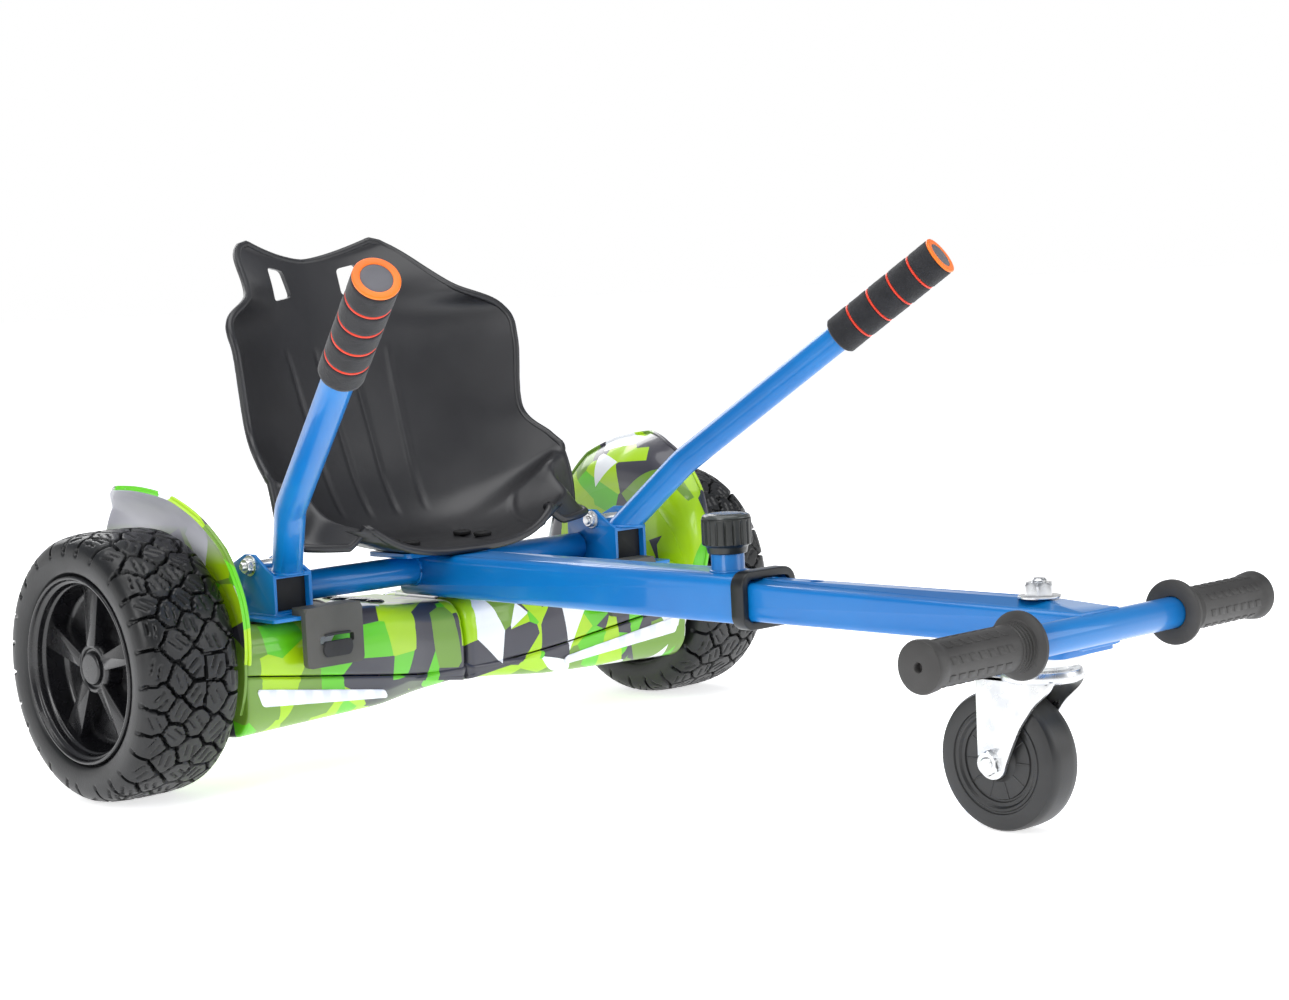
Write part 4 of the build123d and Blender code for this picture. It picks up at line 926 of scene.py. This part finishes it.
def thicken(piece, wall, crease=50.0):
    solid = piece.modifiers.new("wall", "SOLIDIFY")
    solid.thickness = wall * MM
    solid.offset = -1.0
    return harden(piece, crease)


def make_shells():
    for label, upper in (("upper_shell", True), ("lower_shell", False)):
        shape = make_casing(upper)
        middle_z = (BODY_TOP - 45 if upper else BODY_LOW + 45) * MM
        skins = pair(f"{label}_skin", shape, CAMO, "camo_shell", 50, label)
        for skin, (_, sign) in zip(skins, SIDES):
            outward(skin, (sign * (BODY_X0 + BODY_X1) / 2 * MM, 0, middle_z))
            thicken(skin, SHELL_WALL)


# ---- fenders ----
# Angle from the top towards the front, reach outboard of the wall and rim radius less the tyre's.
FENDER_ANGLES = [-88, -45, -24, -13, 0, 6, 19, 33, 47, 65, 80, 90]
FENDER_REACH = [5, 12, 20, 36, 52, 44, 31, 25, 19, 13, 9, 6]
FENDER_RIM = [-6, 12, 26, 31, 33, 33, 32, 30, 26, 14, 2, -6]
FENDER_T = 2.8
FENDER_ROWS, FENDER_COLUMNS = 96, 18
WALL_R = TYRE_R - 17.0


def make_fender():
    """A thin hood from the casing's end that curls out over the tyre and peaks above its middle."""
    wall_x = span("left_fender")[0][0]
    rows, columns = FENDER_ROWS, FENDER_COLUMNS
    outer, inner = [], []
    for i in range(rows):
        degrees = -88 + 178 * i / (rows - 1)
        reach = np.interp(degrees, FENDER_ANGLES, FENDER_REACH)
        rim = TYRE_R + np.interp(degrees, FENDER_ANGLES, FENDER_RIM)
        root = min(WALL_R, rim - 4)
        angle = math.radians(degrees)
        for j in range(columns):
            share = j / (columns - 1)
            lift = share ** 0.5 if share < 1 else 1.0
            x = wall_x + 0.4 + reach * (share ** 1.7)
            r = root + (rim - root) * lift
            curl = 1.2 * smoothstep((share - 0.9) / 0.1)
            slope = Vector((1.0, -0.55)).normalized() if share > 0.15 else Vector((1.0, -0.2)).normalized()
            for target, depth in ((outer, -curl * 0.5), (inner, FENDER_T)):
                xx, rr = x + slope.x * depth, r + slope.y * depth
                target.append(Vector((xx, -rr * math.sin(angle), TYRE_R + rr * math.cos(angle))))
    faces_out = grid_faces(rows, columns)
    total = rows * columns
    faces_in = [tuple(total + i for i in reversed(face)) for face in faces_out]
    edge = [i * columns + j for i, j in border(rows, columns)]
    rim_faces = [(a, b, total + b, total + a) for a, b in zip(edge, edge[1:] + edge[:1])]
    return outer + inner, faces_out, faces_in, rim_faces


def make_fender_wall():
    """The plate on the casing's end behind the wheel, cut level below."""
    wall_x = span("left_fender")[0][0]
    outline = []
    cut = 50.0 - TYRE_R
    for degrees in np.linspace(-118, 118, 60):
        angle = math.radians(degrees)
        radius = TYRE_R + np.interp(degrees, FENDER_ANGLES, FENDER_RIM)
        radius = min(WALL_R + 1, radius - 3)
        outline.append((-radius * math.sin(angle), max(cut, radius * math.cos(angle))))
    return prism(outline, 0.2, FENDER_T, 0.8, lambda u, v, h: Vector((wall_x + h, u, TYRE_R + v)))


def make_fenders():
    points, faces_out, faces_in, rim_faces = make_fender()
    last = FENDER_COLUMNS - 1
    lip = [points[i * FENDER_COLUMNS + last] + Vector((-0.6, 0, 0)) for i in range(FENDER_ROWS)]
    wall = make_fender_wall()
    first_inner = len(faces_out)
    for hood in pair("fender_hood", (points, faces_out + faces_in + rim_faces), [CAMO, FENDER_IN],
                     "camo_fender", 45, "fender"):
        for index, face in enumerate(hood.data.polygons):
            if first_inner <= index < first_inner + len(faces_in):
                face.material_index = 1
        soften(hood, 0.7, 2, 60)
    pair("fender_lip", swept(lip, 1.7, 10), CAMO, "camo_fender", 60)
    pair("fender_wall", wall, CAMO, "camo_fender", 40)


# ---- foot pads, ovals and light strips ----
PAD_X0, PAD_X1, PAD_Y, PAD_POINT = 104.0, 238.0, 66.0, 30.0
PAD_TOP = span("left_foot_pad")[1][2]
OVALS = [(-31, 15), (-17, 36), (-1, 42), (16, 34), (30, 13)]  # place along the casing's depth, length
OVAL_SLANT = math.radians(18)
OVAL_WIDTH, OVAL_HEIGHT = 9.5, 2.6
PILL_SIDES = 32
PAD_RIBS, PAD_RIB_PITCH, PAD_RIB_SLOPE = 7, 17, 0.5


def pad_corners(inset):
    """The pad's arrow outline drawn in by inset."""
    shoulder = PAD_X0 + PAD_POINT
    return [(PAD_X1 - inset, -PAD_Y + inset), (PAD_X1 - inset, PAD_Y - inset),
            (shoulder + inset * 0.45, PAD_Y - inset),
            (PAD_X0 + inset * 1.1, 0), (shoulder + inset * 0.45, -PAD_Y + inset)]


def make_pads():
    top = PAD_TOP - 0.2
    base = prism(rounded_outline(pad_corners(0), 7), BODY_TOP - 1.0, top - 1.1, 0.5, flat_z)
    lip = swept([(x, y, top - 1.3) for x, y in rounded_outline(pad_corners(1.6), 7)], 1.5, 8, closed=True)
    shapes = [base, lip]
    for k in range(PAD_RIBS):
        nose = PAD_X0 + 12 + PAD_RIB_PITCH * k
        reach = min(PAD_Y - 9, (PAD_X1 - 8 - nose) / PAD_RIB_SLOPE)
        arm = [(nose + PAD_RIB_SLOPE * abs(y), y, top - 1.2) for y in np.linspace(-reach, reach, 31)]
        arm[15] = (nose + 0.8, 0, top - 1.2)
        shapes.append(swept(arm, 1.35, 8))
        if k < PAD_RIBS - 1:
            run = np.linspace(8, max(12, reach - 14), 9)
            for sign in (-1, 1):
                bar = [(nose + 9 + PAD_RIB_SLOPE * abs(y), sign * y, top - 1.3) for y in run]
                shapes.append(swept(bar, 0.9, 6))
    pad = join(*shapes)
    slope = math.atan2(STATION_TOP[2] - STATION_TOP[1], STATION_X[2] - STATION_X[1])
    middle = Vector(((STATION_X[1] + STATION_X[2]) / 2, 0, (STATION_TOP[1] + STATION_TOP[2]) / 2))
    pills = []
    tilt = Matrix.Rotation(-slope, 4, "Y") @ Matrix.Rotation(OVAL_SLANT, 4, "Z")
    for place_y, length in OVALS:
        points, faces = pill(length, OVAL_WIDTH, OVAL_HEIGHT)
        pills.append(([middle + Vector((0, place_y, 0)) + tilt @ Vector(p) for p in points], faces))
    pair("pad_ribs", pad, PAD, "pad_rubber", 45, "foot_pad")
    pair("slope_ovals", join(*pills), OVAL, "pad_rubber", 60)


def pill(length, width, height):
    """A domed lozenge lying along X, half sunk in what it sits on."""
    points = []
    levels = [(1.0, -1.5), (1.0, 0.3), (0.96, 1.1), (0.84, 1.9), (0.62, height - 0.25), (0.3, height),
              (0.02, height + 0.05)]
    run = max(0.0, (length - width) / 2)
    for scale, z in levels:
        for step in range(PILL_SIDES):
            angle = 2 * math.pi * step / PILL_SIDES
            shift = run if math.cos(angle) > 0 else -run
            points.append(Vector((shift * (0.25 + 0.75 * scale) + width / 2 * scale * math.cos(angle),
                                  width / 2 * scale * math.sin(angle), z)))
    return points, grid_faces(len(levels), PILL_SIDES, wrap_columns=True) + end_faces(len(levels),
                                                                                      PILL_SIDES)


LED_X0, LED_X1 = 100.0, 236.0
LED_IN, LED_OUT = (58.0, 64.0), (70.0, 84.0)


def make_lights():
    """A tapered lens with rounded ends, following the casing's front face."""
    corners = [(LED_X0, LED_IN[0]), (LED_X1 - 5, LED_OUT[0] + 0.5), (LED_X1, LED_OUT[1]),
               (LED_X0 + 3, LED_IN[1])]
    outline = rounded_outline(corners, 2.6)
    dense = divided(outline + outline[:1], 8, math.dist)[:-1]

    def place(u, v, height):
        return Vector((u, -(station(u, STATION_DEPTH) + height), v))

    lens = prism(dense, -1.5, 1.5, 0.7, place)
    frame_line = swept([place(u, v, 0.3) for u, v in dense], 0.8, 6, closed=True)
    pair("led_lens", lens, LED, "led_lens", 40, "led_strip")
    pair("led_rim", frame_line, LED, "led_lens", 60)


make_shells()
make_fenders()
make_pads()
make_lights()


# ---- seat ----
# Per station: middle y and height, edge y and height, half width, sharpness of the side's rise.
SEAT_STATIONS = np.array([
    (-80, 3, -68, 17, 130, 3.0), (-58, 5, -56, 30, 157, 3.2), (-14, 5, -38, 46, 160, 3.2),
    (26, 14, -30, 68, 164, 2.8), (54, 50, -8, 86, 160, 2.4), (76, 104, 20, 112, 150, 2.2),
    (98, 160, 26, 174, 153, 2.0), (112, 195, 38, 203, 150, 2.0), (123, 220, 64, 226, 112, 2.0),
    (138, 254, 126, 271, 84, 1.6),
])
SEAT_BASE = 172.0
SEAT_T = 5.0
STRAP_Z = 407.0
SEAT_ROWS, SEAT_COLUMNS = 132, 141
PAN_GROOVES = [-98.0, -40.0, 40.0, 98.0]
BACK_GROOVES = [-52.0, -17.0, 17.0, 52.0]


def spline(table, place):
    """A smooth curve through the rows of a table, place running from 0 to the last row."""
    last = len(table) - 1
    i = min(int(place), last - 1)
    t = place - i
    a, b, c, d = table[max(i - 1, 0)], table[i], table[i + 1], table[min(i + 2, last)]
    square = (2 * a - 5 * b + 4 * c - d) * t ** 2
    cube = (3 * b - a - 3 * c + d) * t ** 3
    return 0.5 * (2 * b + (c - a) * t + square + cube)


def seat_point(place, share):
    mid_y, mid_z, edge_y, edge_z, half, sharp = spline(SEAT_STATIONS, place)
    end = 0.0
    if place > 8.5:
        end = (place - 8.5) / 0.5
    half -= 16.0 * (1 - math.sqrt(max(0.0, 1 - end ** 2)))
    if place < 1.0:
        half -= 9.0 * (1 - place) ** 2
    flange = float(smoothstep((3.6 - place) / 1.2))
    crest = 1 - 0.15 * flange
    rise = min(1.0, abs(share) / crest) ** sharp
    lift = 10.0 * flange * rise
    droop = 0.72 * flange * float(smoothstep((abs(share) - crest + 0.04) / (1.04 - crest)))
    lift -= droop * max(0.0, edge_z + 10.0 * flange - 10.0)
    height = SEAT_BASE + mid_z + (edge_z - mid_z) * rise + lift
    return Vector((half * share, mid_y + (edge_y - mid_y) * rise, height))


def groove_depth(place, x):
    """Shallow creases pressed into the pan and up the back."""
    depth = 0.0
    if 0.15 < place < 2.6:
        fade = min(1.0, (place - 0.15) / 0.2, (2.6 - place) / 0.3)
        for middle in PAN_GROOVES:
            path = middle + 14 * (place - 1.2) * (1 if middle > 0 else -1) * 0.5 - 10 * math.sin(place * 1.3)
            depth = max(depth, fade * math.exp(-((x - path) / 2.3) ** 2))
    if 3.3 < place < 6.4:
        fade = min(1.0, (place - 3.3) / 0.3, (6.4 - place) / 0.3)
        for middle in BACK_GROOVES:
            path = middle * (0.86 + 0.07 * (place - 3))
            depth = max(depth, fade * math.exp(-((x - path) / 2.5) ** 2))
    return 1.5 * depth


def make_seat():
    rows, columns = SEAT_ROWS, SEAT_COLUMNS
    grid = np.zeros((rows, columns, 3))
    last = len(SEAT_STATIONS) - 1
    for i in range(rows):
        place = last * i / (rows - 1)
        for j in range(columns):
            grid[i, j] = seat_point(place, -1 + 2 * j / (columns - 1))
    along, across = np.gradient(grid, axis=0), np.gradient(grid, axis=1)
    normal = np.cross(across, along)
    normal /= np.linalg.norm(normal, axis=2)[:, :, None]
    for i in range(rows):
        for j in range(columns):
            grid[i, j] -= normal[i, j] * groove_depth(last * i / (rows - 1), grid[i, j, 0])
    points = [Vector(p) for p in grid.reshape(-1, 3)]
    pan = new_piece("seat_shell", points, grid_faces(rows, columns), SEAT, "kart_frame", ("seat",),
                    "seat_plastic", 60)
    outward(pan, (0, 0.2, 0.05))
    thicken(pan, SEAT_T, 60)
    cut = []
    for sign in (-1, 1):
        corners = [(sign * 28, -13), (sign * 55, -16), (sign * 50, 15), (sign * 30, 11)]
        cut.append(prism(rounded_outline(corners, 4), 0, 90, 0.1,
                         lambda u, v, h: Vector((u, 60.0 + h, STRAP_Z + v))))
    cutter = new_piece("strap_cutter", *join(*cut), SEAT, "kart_frame")
    hole = pan.modifiers.new("strap_holes", "BOOLEAN")
    hole.operation = "DIFFERENCE"
    hole.solver = "EXACT"
    hole.object = cutter
    harden(pan, 60)
    bpy.data.objects.remove(cutter)
    inner = grid - normal * (SEAT_T * 0.55)
    rim = swept([Vector(inner[i, j]) for i, j in border(rows, columns)], 3.6, 10, closed=True)
    new_piece("seat_rim", *rim, SEAT, "kart_frame", (), "seat_plastic", 70)
    # Painted shade: the four bolt heads are near-black domes that stand for dark recesses round the seat
    # bolts.
    heads = []
    head = rounded([(-3.2, 0), (-3.2, 7.6), (-0.6, 8.2), (0.4, 7.0), (0.7, 3.6), (-1.2, 3.0), (-1.2, 0)],
                   0.5)
    for x in (-40.0, 40.0):
        for y in (-48.0, -20.0):
            heads.append(turned(head, (x, y, span("seat_bolts")[1][2] - 0.6), (0, 0, 1), 36))
    new_piece("seat_bolt_heads_painted_shade", *join(*heads), SHADOW, "kart_frame", ("seat_bolts",), "zinc_steel", 30)


make_seat()


# ---- levers, brackets and straps ----
LEVER_R = 12.5
LEVER_BASE = Vector((182.0, -61.0, 160.0))
LEVER_BEND = Vector((218.0, -123.0, 229.0))
LEVER_TOP = Vector((304.0, -358.0, 403.0))
LEVER_BEND_R = 60.0
LEVER_SIDES = 40
FOAM_RINGS = 4
GRIP_LENGTH = 115.0
GRIP_R = 17.5
GRIP_PITCH = 23.0
BOX_TOP = 172.0
BOLT_PLACE = (-50.0, 179.0)  # y and z of the clamp bolt through the bracket's cheeks


def lever_path():
    into = (LEVER_BEND - LEVER_BASE).normalized()
    out = (LEVER_TOP - LEVER_BEND).normalized()
    turn = into.angle(out)
    cut = LEVER_BEND_R * math.tan(turn / 2)
    start, end = LEVER_BEND - into * cut, LEVER_BEND + out * cut
    middle = LEVER_BEND + (out - into).normalized() * (LEVER_BEND_R / math.cos(turn / 2))
    path = [LEVER_BASE + into * 16.0, start]
    for step in range(1, 14):
        share = step / 14
        point = start * (1 - share) ** 2 + LEVER_BEND * 2 * share * (1 - share) + end * share ** 2
        spoke = (point - middle).normalized() * LEVER_BEND_R
        path.append(middle + spoke)
    return path + [end, LEVER_TOP]


def foam_grip(angle, distance, radius):
    return radius + 0.12 * math.sin(9 * angle + distance * 0.7) * math.sin(distance * 0.9)


def make_levers():
    axis = (LEVER_TOP - LEVER_BEND).normalized()
    points, faces = swept(lever_path(), LEVER_R, LEVER_SIDES)
    into = (LEVER_BEND - LEVER_BASE).normalized()
    for step in range(LEVER_SIDES):
        points[step] = points[step] + into * ((BOX_TOP + 0.2 - points[step].z) / into.z)
    foot = weld([p + Vector((0, 0, 0.4)) for p in points[:LEVER_SIDES]], 1.5)
    rings = []
    profile = [(-GRIP_LENGTH, LEVER_R + 0.3), (-GRIP_LENGTH, GRIP_R - 2.2), (-GRIP_LENGTH + 2.2, GRIP_R)]
    for k in range(FOAM_RINGS, 0, -1):
        middle = -GRIP_PITCH * k + 1.0
        profile += [(middle - 2.6, GRIP_R), (middle - 1.5, GRIP_R - 0.5), (middle - 1.1, GRIP_R - 1.6),
                    (middle + 1.1, GRIP_R - 1.6), (middle + 1.5, GRIP_R - 0.5), (middle + 2.6, GRIP_R)]
        ring = rounded([(middle - 1.0, GRIP_R - 1.7), (middle - 1.0, GRIP_R - 0.3),
                        (middle + 1.0, GRIP_R - 0.3),
                        (middle + 1.0, GRIP_R - 1.7)], 0.6)
        rings.append(turned(ring, LEVER_TOP, axis, 56))
    profile += [(-1.2, GRIP_R), (0.0, GRIP_R - 1.0), (0.0, LEVER_R)]
    foam = turned(divided(profile, 2.5), LEVER_TOP, axis, 72, foam_grip)
    end_ring = rounded([(0.0, LEVER_R - 1.5), (0.0, GRIP_R), (2.5, GRIP_R), (2.5, LEVER_R - 0.6),
                        (1.6, LEVER_R - 0.8)], 1.0)
    end_ring = turned(end_ring, LEVER_TOP, axis, 64)
    cap = turned([(0.4, LEVER_R - 0.4), (1.7, LEVER_R - 0.4), (2.3, LEVER_R - 1.1), (2.6, 8.0),
                  (2.9, 4.0), (3.0, 0.0)],
                 LEVER_TOP, axis, 48)
    pair("lever_foot", foot, BLUE, "blue_paint", 60)
    pair("lever_rod", (points, faces), BLUE, "blue_paint", 50, "lever_tube")
    pair("foam_sleeve", foam, FOAM, "foam_grip", 50, "grip_foam")
    pair("sleeve_rings", join(*rings), RED, "orange_plastic", 50, "grip_rings")
    pair("end_ring", end_ring, ORANGE, "orange_plastic", 50)
    pair("end_cap", cap, CAP, "cap_plastic", 50, "grip_cap")


def make_brackets():
    y, z = BOLT_PLACE
    nut = hex_bolt((208.0, y, z), (1, 0, 0), 6.8, 5.0, washer=8.6, stud=3.0)
    head = hex_bolt((170.0, y, z), (-1, 0, 0), 6.6, 4.6, washer=8.2)
    base = [Vector((u, v, 139.3)) for u, v in box_outline(40, 70, 3, (189, -46))]
    inside = box_outline(31.6, 26.6, 1.5, (189, 155.5))
    # Painted shade: a near-black plate set in the bracket box's open front stands in for the shade inside
    # the box.
    dark = prism(inside, 0.0, 1.5, 0.4, lambda u, v, h: Vector((u, -73.0 - h, v)))
    for side, _ in SIDES:
        refine(f"{side}_lever_bracket", BLUE, 0.7, "blue_paint")
        refine(f"{side}_bracket_bolts", ZINC, 0.5, "zinc_steel", 30)
    pair("bolt_set", join(nut, head), ZINC, "zinc_steel", 30)
    # the painted shade plate inside each bracket box
    pair("box_painted_shade", dark, SHADOW, "blue_paint", 40)
    pair("bracket_weld", weld(base, 1.5), BLUE, "blue_paint", 60)


def make_straps():
    """The moulded pad bent over the foot plate's front edge, with a slot and a webbing end."""
    tab = [(152, 116.5), (179, 116.5), (181, 109), (178, 103.5), (154, 103.5), (151, 109)]
    end = prism(rounded_outline(tab, 2.5), -1.0, 2.2, 0.8, lambda u, v, h: Vector((u, -(104.0 + h), v)))
    lip = swept([(153, -104.6, 121.6), (165.5, -105.0, 122.0), (178, -104.6, 121.6)], 1.1, 10)
    for side, _ in SIDES:
        refine(f"{side}_strap_pad", STRAP, 2.8, "strap_rubber", 60, 5)
    pair("strap_end", join(end, lip), STRAP_DARK, "strap_rubber", 50)


make_levers()
make_brackets()
make_straps()


# ---- kart frame, front axle and castor ----
KNOB_Y = -387.0
KINGPIN_Y = -684.0
PEG_Y, PEG_Z = KINGPIN_Y - 49.0, 147.0
PEG_HALF = 190.0
PEG_R = 16.0
FLANGE_X, FLANGE_R = 85.0, 23.0
CASTOR_Y, CASTOR_R = KINGPIN_Y + 31.0, 50.0
FLUTES = 18
PEG_PANELS, PEG_PANEL_ROWS = 8, 7
CASTOR_RIBS = 10
KNOB_R = (span("pull_knob")[1][0] - span("pull_knob")[0][0]) / 2
KNOB_LOW = 182.3
BOSS_R = 13.0


def knob_wave(angle, distance, radius):
    if radius < KNOB_R - 2.5 or not 7.5 < distance < 25.5:
        return radius
    return radius - 1.3 * max(0.0, math.cos(FLUTES * angle)) ** 3


def make_knob():
    height = span("pull_knob")[1][2] - KNOB_LOW
    skirt = KNOB_R - 3.2
    body = rounded([(0, 0), (0, skirt - 1.0), (5.4, skirt), (7, KNOB_R), (27.0, KNOB_R),
                    (28.0, KNOB_R - 2), (28.1, 0.0)], 0.9)
    place = (0, KNOB_Y, KNOB_LOW)
    new_piece("knob_body", *turned(divided(body, 2.0), place, (0, 0, 1), 264, knob_wave), KNOB, "pull_knob",
              ("pull_knob",), "knob_plastic", 40)
    top = rounded([(27.6, KNOB_R - 0.4), (29.0, KNOB_R - 0.8), (height - 0.6, KNOB_R - 2.6),
                   (height - 0.9, KNOB_R - 4.4),
                   (height - 0.1, KNOB_R - 6.5), (height, 0.0)], 0.7)
    new_piece("knob_cap", *turned(top, place, (0, 0, 1), 96), KNOB_TOP, "pull_knob", (), "knob_plastic", 50)
    pin = turned(rounded([(-14, 0), (-14, 4.0), (-1.5, 4.0), (-1.5, 7.5), (0.2, 7.5), (0.2, 0)], 0.5),
                 place, (0, 0, 1), 40)
    new_piece("knob_stem", *pin, ZINC, "pull_knob", (), "knob_plastic", 40)


def make_frame():
    refine("main_beam", BLUE, 0.8, "blue_paint", 50)
    refine("rear_crossbar", BLUE, 0.7, "blue_paint", 50)
    refine("beam_collar", COLLAR, 1.2, "collar_plastic", 50, 3)
    beads = [weld(circle((0, KNOB_Y, 168.4), BOSS_R + 0.4, 39), 1.4)]
    for x in (-26.6, 26.6):
        beads.append(weld(circle((x, -30, 154), 12.9, 29, (0, 1, 0), (0, 0, 1)), 1.5))
    new_piece("frame_welds", *join(*beads), BLUE, "kart_frame", (), "blue_paint", 60)
    tube = refine("front_tube", BLUE, 0.8, "blue_paint", 50)
    for vertex in tube.data.vertices:
        y, z = vertex.co.y / MM, vertex.co.z / MM
        share = float(smoothstep((PEG_Y + 36 - y) / 34.0))
        if z > 133.8:
            vertex.co.z = (PEG_Z + (z - PEG_Z) * (1 - 0.30 * share)) * MM if z > PEG_Z else vertex.co.z
    cap = prism(box_outline(46.0, 25.6, 4.0, (0, 146.9)), -3.0, 1.6, 1.2, lambda u, v,
                h: Vector((u, PEG_Y - h, v)))
    new_piece("tube_end_cap", *cap, BLUE, "front_axle", (), "blue_paint", 40)
    refine("peg_bar", BLUE, 0.5, "blue_paint", 50)


def make_pegs():
    shapes, panels = [], []
    for sign in (-1, 1):
        start = (sign * FLANGE_X, PEG_Y, PEG_Z)
        length = PEG_HALF - FLANGE_X
        profile = [(0.0, 11.6), (0.0, FLANGE_R - 1.5), (1.2, FLANGE_R), (3.6, FLANGE_R),
                   (5.0, FLANGE_R - 1.8),
                   (6.2, PEG_R + 1.8)]
        for k in range(4):
            base = 7.5 + 3.0 * k
            profile += [(base, PEG_R + 1.2 - 0.3 * k), (base + 1.5, PEG_R + 1.5 - 0.3 * k),
                        (base + 2.0, PEG_R + 0.2 - 0.2 * k)]
        profile += [(22, PEG_R - 0.8), (length - 16, PEG_R - 0.9), (length - 12, PEG_R - 0.2),
                    (length - 10, PEG_R + 0.8),
                    (length - 2.5, PEG_R + 1.6), (length - 0.8, PEG_R + 1.0), (length, PEG_R - 1.0),
                    (length, 3.6),
                    (length - 0.6, 3.0), (length - 5.0, 2.9), (length - 5.0, 0.0)]
        shapes.append(turned(profile, start, (sign, 0, 0), 72))
        for turn in np.linspace(0, 2 * math.pi, PEG_PANELS, endpoint=False) + 0.2:
            for k in range(PEG_PANEL_ROWS):
                base = 26 + 9.4 * k
                slant = ((0.0, -0.17), (6.2, -0.17), (8.6, 0.17), (2.4, 0.17))
                corners = [(base + shift, turn + swing) for shift, swing in slant]

                def lay(u, v, height, sign=sign):
                    r = PEG_R - 1.05 + height
                    return Vector((sign * (FLANGE_X + u), PEG_Y + r * math.cos(v) * sign,
                                   PEG_Z + r * math.sin(v)))

                panels.append(slab(corners, lay, 0.75))
    new_piece("peg_grip_bodies", *join(*shapes), GRIP, "front_axle", ("peg_grips",), "grip_rubber", 45)
    new_piece("peg_grip_tread", *join(*panels), GRIP, "front_axle", (), "grip_rubber", 45)


def slab(corners, lay, height):
    """A small raised panel with a drawn-in top."""
    middle = (sum(c[0] for c in corners) / 4, sum(c[1] for c in corners) / 4)
    points = []
    for share, level in ((0.0, 0.0), (0.04, height * 0.8), (0.12, height)):
        for u, v in corners:
            points.append(lay(u + (middle[0] - u) * share, v + (middle[1] - v) * share, level))
    return points, grid_faces(3, 4, wrap_columns=True) + end_faces(3, 4)


def make_castor():
    refine("castor_plate", ZINC, 0.8, "zinc_steel", 40)
    crown = [(0.0, 7.0), (0.0, 26.0), (1.5, 28.6), (5.0, 28.8), (8.5, 27.6), (10.0, 24.5), (12.4, 24.0),
             (12.4, 7.0)]
    shapes = [turned(rounded(crown, 0.8), (0, KINGPIN_Y, 108.0), (0, 0, 1), 80)]
    leg = [(KINGPIN_Y - 24, 111.0), (KINGPIN_Y - 20, 104.0), (KINGPIN_Y - 6, 92.0), (KINGPIN_Y + 6, 76.0),
           (KINGPIN_Y + 14, 60.0), (KINGPIN_Y + 18.5, 50.0), (CASTOR_Y - 10.4, 43.0),
           (CASTOR_Y - 6.0, 39.0),
           (CASTOR_Y, 37.6), (CASTOR_Y + 6.0, 39.0), (CASTOR_Y + 10.4, 43.0), (CASTOR_Y + 12.0, 50.0),
           (CASTOR_Y + 12.0, 111.0)]
    for sign in (-1, 1):
        shapes.append(prism(rounded_outline(leg, 4.0), 17.0, 20.0, 0.7,
                            lambda u, v, h, sign=sign: Vector((sign * h, u, v))))
    top = prism(rounded_outline([(-20, KINGPIN_Y - 22), (20, KINGPIN_Y - 22), (20, CASTOR_Y + 12),
                                 (-20, CASTOR_Y + 12)], 3.0),
                108.2, 111.4, 0.6, flat_z)
    new_piece("castor_fork_body", *join(*shapes, top), ZINC, "castor_fork", ("castor_fork",),
              "zinc_steel", 42)
    shapes = [hex_bolt((sign * 20.0, CASTOR_Y, CASTOR_R), (sign, 0, 0), 9.4, 5.6,
                       stud=1.4) for sign in (-1, 1)]
    shapes.append(swept([(-20.5, CASTOR_Y, CASTOR_R), (20.5, CASTOR_Y, CASTOR_R)], 5.9, 32))
    new_piece("castor_bolt", *join(*shapes), ZINC, "castor_fork", ("castor_axle",), "zinc_steel", 30)
    top = span("front_tube")[1][2]
    king = hex_bolt((0, KINGPIN_Y, top), (0, 0, 1), 10.6, 9.0, washer=15.0, stud=3.0)
    shank = swept([(0, KINGPIN_Y, 102.0), (0, KINGPIN_Y, top + 1)], 5.9, 32)
    new_piece("kingpin_nut", *join(king, shank), ZINC, "front_axle", ("kingpin",), "zinc_steel", 30)
    race = [swept(circle((0, KINGPIN_Y, z), 30.2, 64), 0.9, 8, closed=True) for z in (122.2, 127.4)]
    new_piece("castor_race", *join(*race), ZINC, "front_axle", (), "zinc_steel", 50)
    half = [(0.0, 6.4), (16.6, 6.4), (16.6, 12.0), (14.0, 13.0), (12.2, 15.0), (12.2, 27.0), (11.2, 27.6),
            (11.2, 28.8),
            (12.4, 29.4), (12.6, 32.0), (14.4, 33.4), (14.6, 35.2), (13.8, 35.8), (13.8, 37.0),
            (14.9, 37.6),
            (15.0, 45.0), (14.0, 48.2), (11.5, 49.6), (6.0, 50.0), (0.0, 50.0)]
    profile = [(-d, r) for d, r in half] + [(d, r) for d, r in half[::-1]]
    wheel = turned(profile + [profile[0]], (0, CASTOR_Y, CASTOR_R), (1, 0, 0), 128)
    ribs = []
    for sign in (-1, 1):
        hub = (sign * 12.0, CASTOR_Y, CASTOR_R)
        ends = [circle(hub, radius, CASTOR_RIBS, (0, 1, 0), (0, 0, 1)) for radius in (15.5, 27.0)]
        ribs += [swept([a, b], 0.7, 8) for a, b in zip(*ends)]
    new_piece("castor_tyre", *wheel, CASTOR, "castor_wheel", ("castor_wheel",), "castor_rubber", 35)
    new_piece("castor_ribs", *join(*ribs), CASTOR, "castor_wheel", (), "castor_rubber", 50)


make_knob()
make_frame()
make_pegs()
make_castor()


# ---- small fittings and inner parts ----
def make_fittings():
    refine("charge_port", PRONGS, 0.6, "socket_plastic", 40)
    refine("power_button", PRONGS, 0.8, "button_plastic", 40)
    for side, _ in SIDES:
        dress(f"{side}_chassis", ALUMINIUM)
        for part in ("axle_clamp", "axle", "stator", "wheel_bearings"):
            dress(f"{side}_{part}", STEEL)
        dress(f"{side}_gyro_board", BOARD)
    for node in ("central_shaft", "knob_spring"):
        dress(node, STEEL)
    dress("main_board", BOARD)
    dress("battery_pack", WRAP)


make_fittings()
